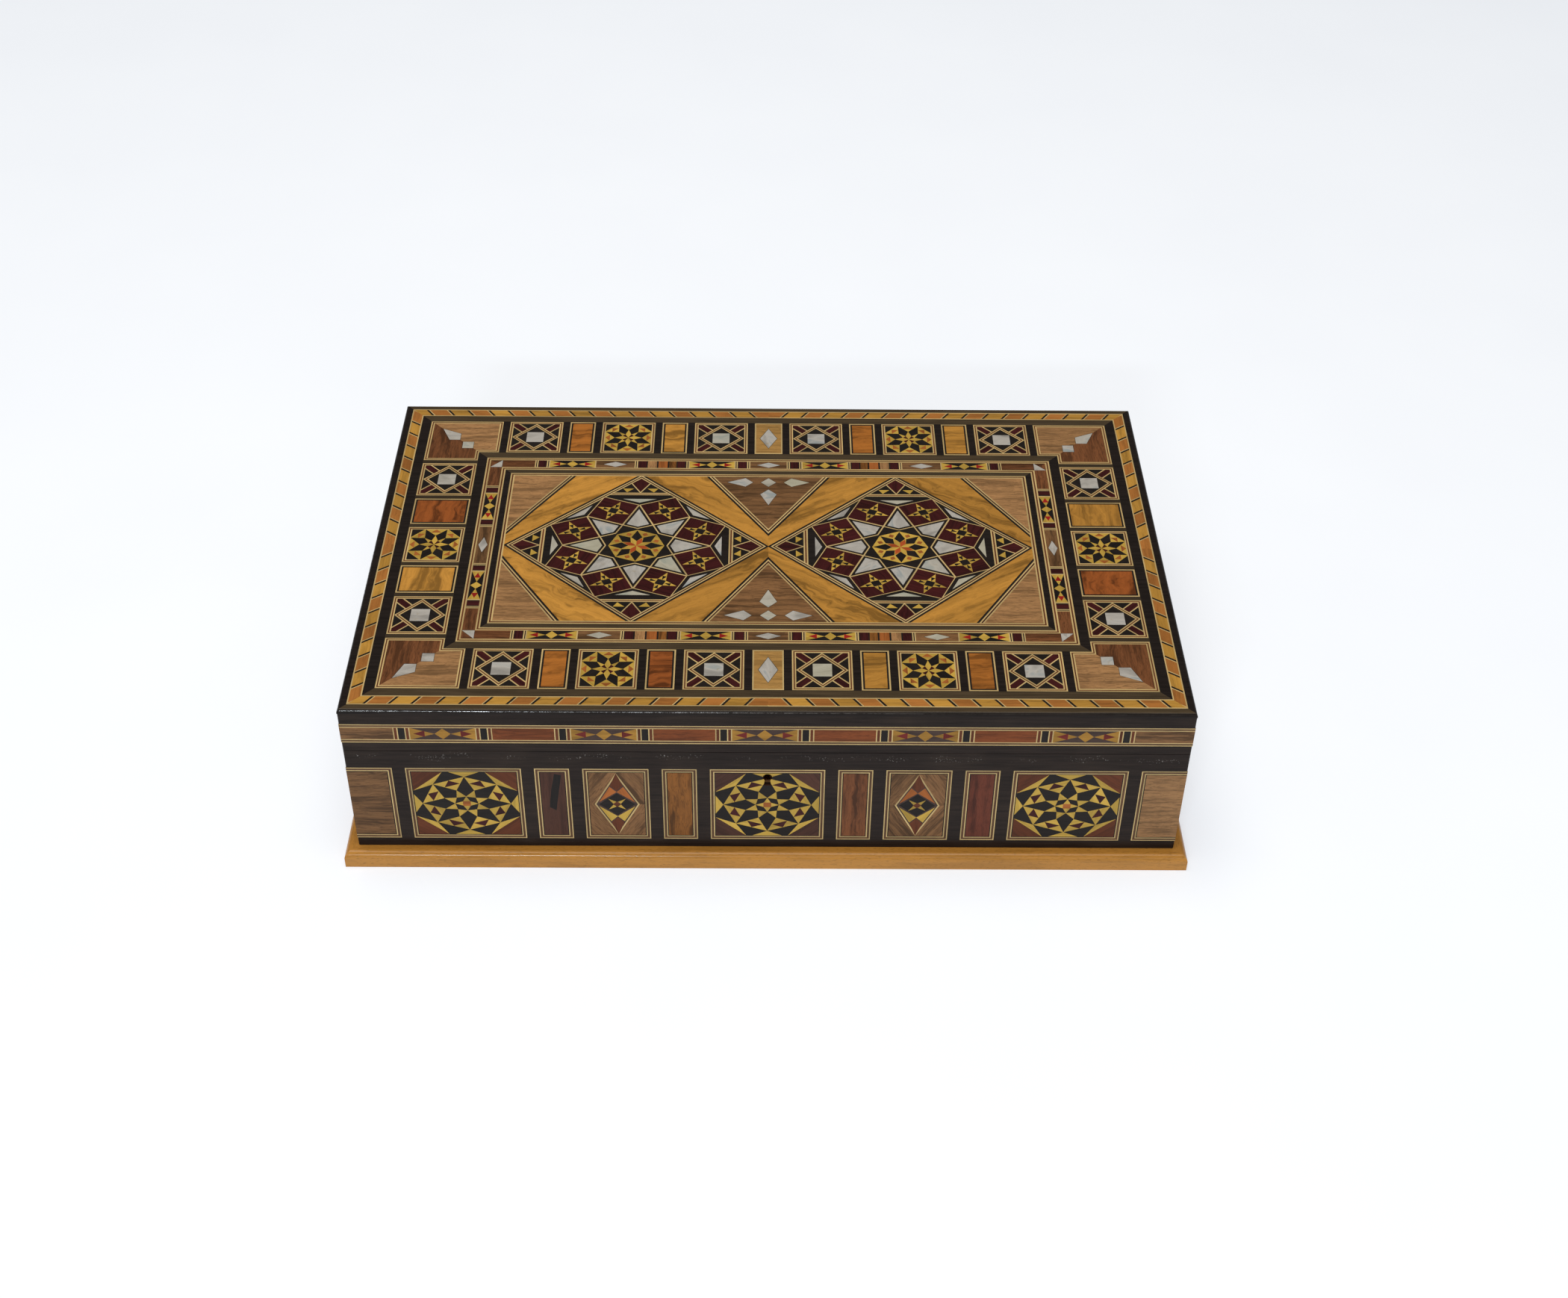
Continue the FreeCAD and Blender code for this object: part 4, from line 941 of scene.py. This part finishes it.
def diamond_panel(width):
    """A lined rhombus on four walnut corners, with a black diamond and a small star at its middle."""
    picture = Picture(rectangle(width, PANEL_HEIGHT), "grey_walnut")
    inner = picture.border(rectangle(width, PANEL_HEIGHT), PANEL_STRINGING)
    half_width, half_height = inner[2]
    slope = math.degrees(math.atan2(half_height, half_width))
    for way, rise in ((1, 1), (-1, 1), (-1, -1), (1, -1)):
        quarter = box_outline((0, 0), (way * half_width, rise * half_height))
        picture.lay(quarter, "grey_walnut", -way * rise * slope)
    outer = rhombus(half_width * 0.82, half_height * 0.99)
    bed = picture.lay(outer, "brown_black")
    picture.border(outer, (("cream", 0.5), ("brown_black", 0.7)))
    for way in (-1, 1):
        picture.lay([(0, way * 14.4), (2.2, way * 8.6), (0, way * 6.2), (-2.2, way * 8.6)], "russet", 90, bed)
        for side in (-1, 1):
            chevron = [(side * 2.3, way * 8.1), (0, way * 5.7), (side * 6.1, way * 0.9)]
            picture.lay(chevron, "orange" if way > 0 else "yellow", inside=bed)
    picture.lay(rhombus(6.1, 5.2), "ebony", 0, bed)
    star = [(2.9, 2.5), (0, 1.0), (-2.9, 2.5), (-1.1, 0), (-2.9, -2.5), (0, -1.0), (2.9, -2.5), (1.1, 0)]
    picture.lay(star, "yellow", 0, bed)
    picture.lay(rhombus(1.5, 1.35), "russet", 0, bed)
    return picture


def strip_panel(width, finish):
    """A narrow upright panel. The rosewood ones have a black streak in their grain."""
    picture = Picture(rectangle(width, PANEL_HEIGHT), finish, 90)
    inner = picture.border(rectangle(width, PANEL_HEIGHT), PANEL_STRINGING)
    bed = picture.lay(inner, finish, 90)
    if finish == "rosewood":
        streak = [(-1.6, -1.5), (0.6, -3), (1.6, 4), (3.0, 13.4), (0.7, 14.0), (-0.6, 7)]
        picture.lay(streak, "ebony", 90, bed)
    return picture


def end_panel(width, finish):
    """The walnut panel that runs to a corner of the case. Its frame runs on past the corner."""
    picture = Picture(corners(0, -PANEL_HEIGHT / 2, width, PANEL_HEIGHT / 2), finish, 0)
    picture.border(corners(0, -PANEL_HEIGHT / 2, width + 12, PANEL_HEIGHT / 2), PANEL_STRINGING)
    return picture


def lay_medallion(picture, middle):
    """A lined diamond about an eight-fold star of pearl kites, wine squares and a rosette. It is drawn as a
    square diamond, a little larger than the pieces that it is cut into."""
    medallion = Medallion(picture, middle)
    overlap, shoulder, waist, hollow, outer = 0.27, 26.4, 14.3, 10.95, 34.3
    reach = REACH + overlap
    diamond = rhombus(reach, reach)
    bed = medallion.lay(diamond, "ebony", 0)
    field = medallion.lay(medallion.border(diamond, MEDALLION_LINES, bed), "ebony", 0, bed)

    arm = [(-1.55, 1.5), (1.55, 1.5), (0, 6.3)]
    for axis in range(0, 360, 45):
        here, after = at_angle(shoulder, axis), at_angle(shoulder, axis + 45)
        cross, far = at_angle(waist, axis + 22.5), at_angle(outer, axis + 22.5)
        before_far = at_angle(outer, axis - 22.5)
        medallion.lay(inset([before_far, far, here], 1.35), "pearl", axis + 90, field)
        square = [here, cross, after, far]
        medallion.lay(square, "cream", inside=field)
        medallion.lay(inset(square, 0.32), "wine", axis + 67.5, field)
        heart = tuple(sum((Vector(corner) for corner in square), Vector((0, 0))) / 4)
        for slant in range(0, 360, 90):
            # The arms point at the middles of the square's sides.
            spoke = turned(arm, axis - 22.5 + slant)
            medallion.lay(shifted(spoke, *heart), "yellow", inside=field)
            medallion.lay(shifted(medial(spoke), *heart), "ebony", inside=field)
        medallion.lay(shifted(turned(rectangle(3.1, 3.1), axis - 22.5), *heart), "ebony", inside=field)
    for axis in range(0, 360, 45):
        cell = [at_angle(shoulder, axis), at_angle(waist, axis + 22.5), at_angle(hollow, axis)]
        cell += [at_angle(waist, axis - 22.5)]
        medallion.lay(cell, "ebony", inside=field)
        medallion.lay(inset(cell, 1.1), "pearl", axis, field)
    for axis in range(0, 360, 45):
        for way in (-1, 1):
            line = stripe(at_angle(shoulder, axis), at_angle(hollow, axis + 45 * way), 0.24, -0.24)
            medallion.lay(line, "cream", inside=field)

    notch, ring = 5.1, 2.9
    medallion.lay([at_angle(ROSETTE, 45 * k) for k in range(8)], "yellow", 0, field)
    for k in range(8):
        axis = 45 * k
        flame = [at_angle(8.8, axis + 22.5), at_angle(7.7, axis + 30.5), at_angle(6.4, axis + 22.5)]
        flame += [at_angle(7.7, axis + 14.5)]
        medallion.lay(flame, "orange", axis + 22.5, field)
        kite = [at_angle(ROSETTE - 0.3, axis), at_angle(5.6, axis + 20.5), at_angle(ring, axis)]
        kite += [at_angle(5.6, axis - 20.5)]
        medallion.lay(kite, "ebony", axis, field)
        ray = [(0, 0), at_angle(ring, axis), at_angle(notch, axis + 22.5), at_angle(ring, axis + 45)]
        medallion.lay(ray, "brick" if k % 2 else "yellow", axis + 22.5, field)

    cut = 32.9
    for axis in range(0, 360, 90):
        nose = medallion.lay(turned([(cut, -18), (cut, 18), (reach, 0)], axis), "ebony", inside=field)
        for way in (-1, 1):
            half = [(cut + 1.6, way * 0.4), (cut + 1.6, way * 9.6), (40.3, way * 3.8)]
            medallion.lay(turned(inset(medial(half), 0.15), axis), "yellow", inside=nose)
        for finish, back in (("cream", 1.2), ("wine", 2.1)):
            kite = [(cut + back, 0), (cut + back + 14, -7.7), (cut + back + 14, 7.7)]
            medallion.lay(turned(kite, axis), finish, axis, nose)
        low_end, high_end = turned([(cut, -18), (cut, 18)], axis)
        medallion.ruled(low_end, high_end, DOUBLE[::-1], inside=bed)
    medallion.border(diamond, MEDALLION_LINES, bed)


def field_picture():
    """The whole middle of the top: walnut triangles, golden wedges and the two medallions."""
    outline = rectangle(2 * field_high.x, 2 * field_high.y)
    picture = Picture(outline, "golden", 0)
    for way in (-1, 1):
        for rise in (-1, 1):
            for near, far, lean in ((0, REACH, 31), (REACH, EDGE, -31)):
                wedge = box_outline((way * near, 0), (way * far, rise * BRIM))
                picture.lay(wedge, "golden", lean * way * rise)

    def triangle(points, finish):
        for line, width in MEDALLION_LINES:
            picture.lay(points, line)
            points = inset(points, width)
        picture.lay(points, finish, 0)

    # The triangles run on past the frame, so that only their slanted sides are lined.
    beyond = 6.0
    wide = TRIANGLE_REACH * (1 + beyond / (BRIM - TRIANGLE_APEX))
    for rise in (-1, 1):
        apex, base = rise * TRIANGLE_APEX, rise * (BRIM + beyond)
        triangle([(0, apex), (-wide, base), (wide, base)], "grey_walnut")
        for way in (-1, 1):
            side = [(EDGE, apex), (EDGE - wide, base), (EDGE + beyond, base), (EDGE + beyond, apex)]
            triangle(stretched(side, way, 1), "light_walnut")
        pearls = [
            [(0, rise * 24.6), (3.0, rise * 31.2), (0, rise * 34.2), (-3.0, rise * 31.2)],
            rhombus(2.8, 2.65, (0, rise * 38.6)),
        ]
        for way in (-1, 1):
            pearls.append(stretched([(5.7, 38.6), (8.5, 41.2), (15.1, 38.6), (8.5, 36.0)], way, rise))
        for shape in pearls:
            picture.lay(inset(shape, -0.12), "ebony")
            picture.lay(shape, "pearl", 0)
    for way in (-1, 1):
        lay_medallion(picture, way * REACH)
    picture.border(outline, DOUBLE)
    return picture


# Building the pieces ----------

top = Surface((0, 0, TOP), ACROSS, AWAY, UP)


def build_top_tiles():
    """The row of tiles about the top, and the four corner panels."""
    tiles = {
        "star_tile": (star_tile, "star_mosaic", (53.35, ROW), (COLUMN, 0)),
        "pearl_square_tile": (pearl_square_tile, "pearl_mosaic", (18.05, ROW), (88.65, ROW), (COLUMN, 39.4)),
        "olive_wood_tile": (olive_tile, "golden_wood", (35.7, ROW), (71.0, ROW), (COLUMN, 19.7)),
        "pearl_diamond_tile": (pearl_diamond_tile, "pearl_mosaic", (0, ROW)),
    }
    for kind, (draw, slot, *places) in tiles.items():
        everywhere = sorted({(sx * x, sy * y) for x, y in places for sx in (-1, 1) for sy in (-1, 1)})
        for count, (x, y) in enumerate(everywhere, 1):
            picture = draw(x, y) if draw is olive_tile else draw()
            slab(f"{kind}_{count}", picture, top.moved(x, y), "lid", kind + "s")
    for count, (sx, sy) in enumerate(((-1, -1), (-1, 1), (1, -1), (1, 1)), 1):
        corner = Surface((sx * CORNER_LENGTH, sy * CORNER_DEPTH, TOP), -sx * ACROSS, -sy * AWAY, UP)
        slab(f"corner_panel_{count}", corner_panel(27.9, 25.85), corner, "lid", "corner_panels")


def sides_of(half_length, half_depth):
    """The top's four sides as surfaces that start at the middle of an edge and look inwards."""
    return {
        "front": (Surface((0, -half_depth, TOP), ACROSS, AWAY, UP), half_length),
        "back": (Surface((0, half_depth, TOP), -ACROSS, -AWAY, UP), half_length),
        "left": (Surface((-half_length, 0, TOP), -AWAY, ACROSS, UP), half_depth),
        "right": (Surface((half_length, 0, TOP), AWAY, -ACROSS, UP), half_depth),
    }


def build_rope():
    """The rope border, whose blocks lean away from the middle of each side."""
    for side, (surface, length) in sides_of(rope_high.x, rope_high.y).items():
        for half, way in (("a", 1), ("b", -1)):
            mirror = Surface(surface.origin, surface.across * way, surface.up, surface.out)
            slab(f"rope_{side}_{half}", rope_half(length), mirror, "lid", "rope_band")


def cut_into(name, picture, surface, stations, height, body, node):
    """Pieces of one long band, cut square across at the stations."""
    for count, (start, end) in enumerate(zip(stations, stations[1:], strict=False), 1):
        slab(f"{name}_{count}", picture, surface, body, node, corners(start, 0, end, height))


def build_inner_band():
    """The band about the field. Its end pieces are mitred, the others cut square."""
    for side, (surface, length) in sides_of(band_high.x, band_high.y).items():
        long_side = side in ("front", "back")
        picture = inner_band(length, LONG_BAND if long_side else SHORT_BAND)
        cuts = (12.4, 30.4, 49.8, 64.4, 86.5) if long_side else (15.9, 34.9)
        name, last = f"inner_band_{side}", cuts[-1]
        stations = [*(-cut for cut in reversed(cuts)), *cuts]
        cut_into(name, picture, surface, stations, BAND_WIDTH, "lid", "inner_band")
        end_piece = [(last, 0), (length, 0), (length - BAND_WIDTH, BAND_WIDTH), (last, BAND_WIDTH)]
        for way, end in ((-1, "a"), (1, "b")):
            outline = stretched(end_piece, way, 1)
            slab(f"{name}_{end}", picture, surface, "lid", "inner_band", outline)


def build_field():
    """The field in pieces: its frame, the triangles, the wedges between them and the two medallions."""
    picture = field_picture()

    def add(name, outline, node="central_field", slot="golden_wood"):
        slab(name, picture, top, "lid", node, outline)

    frame_strips = mitred(rectangle(2 * field_high.x, 2 * field_high.y), rectangle(2 * EDGE, 2 * BRIM))
    for side, strip in zip(("front", "right", "back", "left"), frame_strips, strict=True):
        add(f"field_frame_{side}", strip, slot="cream_line")
    for rise, end in ((-1, "front"), (1, "back")):
        apex, base = rise * TRIANGLE_APEX, rise * BRIM
        shape = [(0, apex), (-TRIANGLE_REACH, base), (TRIANGLE_REACH, base)]
        add(f"walnut_triangle_{end}", shape, slot="walnut")
        for way, side in ((-1, "left"), (1, "right")):
            shape = [(way * EDGE, apex), (way * (EDGE - TRIANGLE_REACH), base), (way * EDGE, base)]
            add(f"light_triangle_{end}_{side}", shape, slot="light_walnut")
            for near, inwards, hand in ((0, way, "a"), (way * EDGE, -way, "b")):
                foot = near + inwards * TRIANGLE_REACH
                point = near + inwards * BRIM / SHRINK
                shape = [(near, 0), (near, apex), (foot, base), (point, base)]
                add(f"golden_wedge_{end}_{side}_{hand}", shape)
    for way, side in ((-1, "left"), (1, "right")):
        octagon = [at_angle(ROSETTE, 45 * k) for k in range(8)]
        add(f"rosette_{side}", flattened(octagon, way * REACH), "medallions", "star_mosaic")
        for k in range(8):
            first, second = ((REACH, REACH / math.sqrt(2)), (REACH / math.sqrt(2), REACH))[k % 2]
            sector = [at_angle(ROSETTE, 45 * k), at_angle(first, 45 * k)]
            sector += [at_angle(second, 45 * k + 45), at_angle(ROSETTE, 45 * k + 45)]
            outline = cut_level(flattened(sector, way * REACH), BRIM)
            add(f"medallion_{side}_{k + 1}", outline, "medallions", "pearl_mosaic")


WALLS = {
    "front": (Surface((0, -HALF_DEPTH, 0), ACROSS, UP, -AWAY), HALF_LENGTH),
    "back": (Surface((0, HALF_DEPTH, 0), -ACROSS, UP, AWAY), HALF_LENGTH),
    "right": (Surface((HALF_LENGTH, 0, 0), AWAY, UP, ACROSS), HALF_DEPTH),
    "left": (Surface((-HALF_LENGTH, 0, 0), -AWAY, UP, -ACROSS), HALF_DEPTH),
}


def build_lid_bands():
    """The bands about the lid's edge. The front's motifs sit a little off the middle, as laid by hand."""
    nodes = {"front": "lid_band_front", "back": "lid_band_back"}
    for side, (wall, length) in WALLS.items():
        long_side = side in nodes
        end = length if long_side else length - INLAY_DEPTH
        pitch, first = (52.7, -1.0) if side == "front" else (52.3, 0.0)
        middles = [pitch * k + first for k in (range(-2, 3) if long_side else range(-1, 2))]
        picture = lid_band(length, middles)
        half = 16.3
        stations = [-end, *(middle + cut for middle in middles for cut in (-half, half)), end]
        height, node = LID_BAND_HIGH - LID_BAND_LOW, nodes.get(side, "lid_bands_side")
        surface = wall.moved(0, LID_BAND_LOW)
        cut_into(f"lid_band_{side}", picture, surface, stations, height, "lid", node)


# The woods of the two strips and the end panel, from a wall's middle to its left end and its right end.
STRIP_WOODS = {-1: ("amber", "rosewood", "grey_walnut"), 1: ("chestnut", "redwood", "light_walnut")}
# Each kind of panel: its CAD node on the front, and its slot.
PANELS = {
    "star_panel": ("front_star_panels", "star_mosaic"),
    "diamond_panel": ("front_diamond_panels", "star_mosaic"),
    "wood_strip": ("front_wood_strips", "strip_woods"),
    "dark_strip": ("front_wood_strips", "strip_woods"),
    "end_panel": ("front_end_panels", "walnut"),
}
OTHER_NODES = {"back": "back_inlay_panels", "left": "side_inlay_panels", "right": "side_inlay_panels"}


def build_panels():
    """The upright panels about the case, from the middle of each wall outwards."""

    def add(side, kind, number, picture, surface, x):
        node, slot = PANELS[kind]
        node = OTHER_NODES.get(side, node)
        slab(f"{side}_{kind}_{number}", picture, surface.moved(x, PANEL_MIDDLE), "case", node)

    star_width, strip_width = 38.4, 11.6
    for side, (wall, length) in WALLS.items():
        middle_star = front_star_panel(star_width, "rosewood")
        if side == "front":
            cut_keyhole(middle_star)
        add(side, "star_panel", 1, middle_star, wall, 0)
        for number, way in enumerate((-1, 1), 1):
            near_wood, far_wood, end_wood = STRIP_WOODS[way]
            add(side, "wood_strip", number, strip_panel(strip_width, near_wood), wall, way * 29.4)
            add(side, "diamond_panel", number, diamond_panel(22.0), wall, way * 50.6)
            start, end = 66.0, length - CORNER_GAP
            if side in ("front", "back"):
                add(side, "dark_strip", number, strip_panel(strip_width, far_wood), wall, way * 71.8)
                add(side, "star_panel", number + 1, front_star_panel(star_width, "russet"), wall, way * 101.2)
                start, end = 124.8, length
            mirrored = Surface(wall.origin, wall.across * way, wall.up, wall.out)
            add(side, "end_panel", number, end_panel(end - start, end_wood), mirrored, start)


def dress_cad():
    """Materials for the CAD nodes that are shown as they are."""
    finishes = {"top_ground": ground_top, "bottom_panel": carcase_across, "lid_panel": carcase_across}
    finishes |= dict.fromkeys(("lock_bolt", "lock_spring", "hinge_pins"), steel)
    walls = {
        "plinth": (beech_across, beech_away),
        "wall": (carcase_across, carcase_away),
        "lid_wall": (carcase_across, carcase_away),
        "veneer": (ground_across, ground_away),
        "lid_veneer": (ground_across, ground_away),
    }
    for part, (across, away) in walls.items():
        finishes |= {f"{part}_front": across, f"{part}_back": across}
        finishes |= {f"{part}_left": away, f"{part}_right": away}
    for name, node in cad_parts.items():
        for slot in node.material_slots:
            slot.material = finishes.get(name, brass)


def cushion(name, node, facing, body, finish, swell, cells):
    """A thin lining in place of its CAD solid: the shown face crowns a little and its edges are rounded."""
    low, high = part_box(node)
    size = high - low
    axis = max(range(3), key=lambda k: abs(facing[k]))
    first, second = [k for k in range(3) if k != axis]
    outward = 1 if facing[axis] > 0 else -1
    back_level = low[axis] if outward > 0 else high[axis]
    depth = size[axis]
    counts = [max(6, round(size[k] / cells)) for k in (first, second)]
    points, faces = [], []
    for j in range(counts[1] + 1):
        for i in range(counts[0] + 1):
            spot = Vector((0, 0, 0))
            spot[first] = low[first] + size[first] * i / counts[0]
            spot[second] = low[second] + size[second] * j / counts[1]
            inwards = min(min(spot[k] - low[k], high[k] - spot[k]) for k in (first, second))
            rounding = min(1.0, inwards / (2.2 * depth))
            crown = math.sqrt(1 - (1 - rounding) ** 2)
            ripple = noise.noise(spot * 60) * 0.5 + noise.noise(spot * 170) * 0.25
            rise = depth * (0.45 + (0.55 - swell) * crown + swell * crown * (0.5 + 0.5 * ripple))
            spot[axis] = back_level + outward * min(rise, depth)
            points.append(spot)
    row = counts[0] + 1
    for start in (j * row + i for j in range(counts[1]) for i in range(counts[0])):
        faces.append([start, start + 1, start + row + 1, start + row])
    rim = rims_of(faces)[0]
    below = {v: len(points) + k for k, v in enumerate(rim)}
    for v in rim:
        flat = points[v].copy()
        flat[axis] = back_level
        points.append(flat)
    faces += [[rim[k - 1], below[rim[k - 1]], below[v], v] for k, v in enumerate(rim)]
    faces.append([below[v] for v in reversed(rim)])
    mesh = bpy.data.meshes.new(name)
    mesh.from_pydata(points, [], faces)
    mesh.materials.append(finish)
    piece = put_in_scene(name, mesh, body, node)
    for face in mesh.polygons:
        face.use_smooth = face.index < counts[0] * counts[1]
    return piece


def build_linings():
    """Velvet pads in the floor and lid, velvet on the walls, and felt under the box."""
    floor_pad = cushion("floor_velvet", "floor_lining", UP, "case", velvet, 0.2, 0.004)
    lid_pad = cushion("lid_velvet", "lid_lining", -UP, "lid", velvet, 0.2, 0.004)
    ways = {"front": AWAY, "back": -AWAY, "left": ACROSS, "right": -ACROSS}
    for side, way in ways.items():
        wall = cushion(f"wall_velvet_{side}", f"lining_{side}", way, "case", velvet, 0.15, 0.003)
    base = cushion("base_felt_pad", "base_felt", -UP, "case", felt, 0.1, 0.004)


build_top_tiles()
build_rope()
build_inner_band()
build_field()
build_lid_bands()
build_panels()
build_linings()
dress_cad()


# Floor, light and camera ----------


def build_floor():
    """A wide pale floor."""
    mesh = bpy.data.meshes.new("floor")
    width = 40.0
    mesh.from_pydata([(x, y, 0) for x, y in rectangle(width, width)], [], [(0, 1, 2, 3)])
    paper = Finish("paper")
    drift = paper.noise(paper.place(), 0.01, 2.0)
    paper.paint(Base_Color=paper.mixed(drift, colour(198, 199, 202), colour(206, 207, 209)), Roughness=0.9)
    paper.paint(Emission_Color=colour(236, 244, 255), Emission_Strength=0.55)
    mesh.materials.append(paper.material)
    floor = bpy.data.objects.new("floor", mesh)
    bpy.context.collection.objects.link(floor)


def lamp(name, place, aim, width, height, power, tint=(1.0, 0.95, 0.87)):
    """A soft rectangular light that looks at a point."""
    data = bpy.data.lights.new(name, "AREA")
    data.shape = "RECTANGLE"
    data.size = width
    data.size_y = height
    data.energy = power
    data.color = tint
    made = bpy.data.objects.new(name, data)
    made.location = place
    made.rotation_mode = "QUATERNION"
    made.rotation_quaternion = (Vector(aim) - Vector(place)).to_track_quat("-Z", "Y")
    bpy.context.collection.objects.link(made)


def build_lights():
    """A softly lit studio: broad lights, a thin one for the lid's edge and a pale surround."""
    world = bpy.data.worlds.new("studio")
    world.use_nodes = True
    surround = world.node_tree.nodes["Background"].inputs
    surround["Color"].default_value = (1.0, 0.95, 0.88, 1.0)
    surround["Strength"].default_value = 0.2
    bpy.context.scene.world = world
    aim = (0, 0, 0.03)
    lamp("overhead", (-0.1, -0.1, 1.6), aim, 1.3, 0.9, 16.5)
    lamp("front", (0.3, -1.7, 0.9), aim, 1.2, 0.6, 3)
    lamp("edge_light", (-0.25, -1.3, 0.75), (-0.1, 0, 0.06), 0.3, 0.05, 5, (0.85, 0.93, 1.0))


def build_camera():
    """Looks down on the box from the front, a touch turned and rolled."""
    tilt, yaw, roll = (math.radians(degrees) for degrees in (40.477, -0.780, 0.812))
    data = bpy.data.cameras.new("camera")
    data.lens = 48.49
    data.sensor_width = 36.0
    right = Vector((1, 0, 0))
    up = Vector((0, math.sin(tilt), math.cos(tilt)))
    ahead = Vector((0, math.cos(tilt), -math.sin(tilt)))
    rolled_right = math.cos(roll) * right + math.sin(roll) * up
    rolled_up = -math.sin(roll) * right + math.cos(roll) * up
    turn = Matrix((rolled_right, rolled_up, -ahead)).transposed().to_4x4()
    place = Matrix.Translation((-0.00202, -0.59603, 0.52907))
    made = bpy.data.objects.new("camera", data)
    made.matrix_world = place @ (Matrix.Rotation(yaw, 4, "Z") @ turn)
    bpy.context.collection.objects.link(made)
    bpy.context.scene.camera = made


build_floor()
build_lights()
build_camera()
bpy.context.scene.view_settings.view_transform = "Standard"
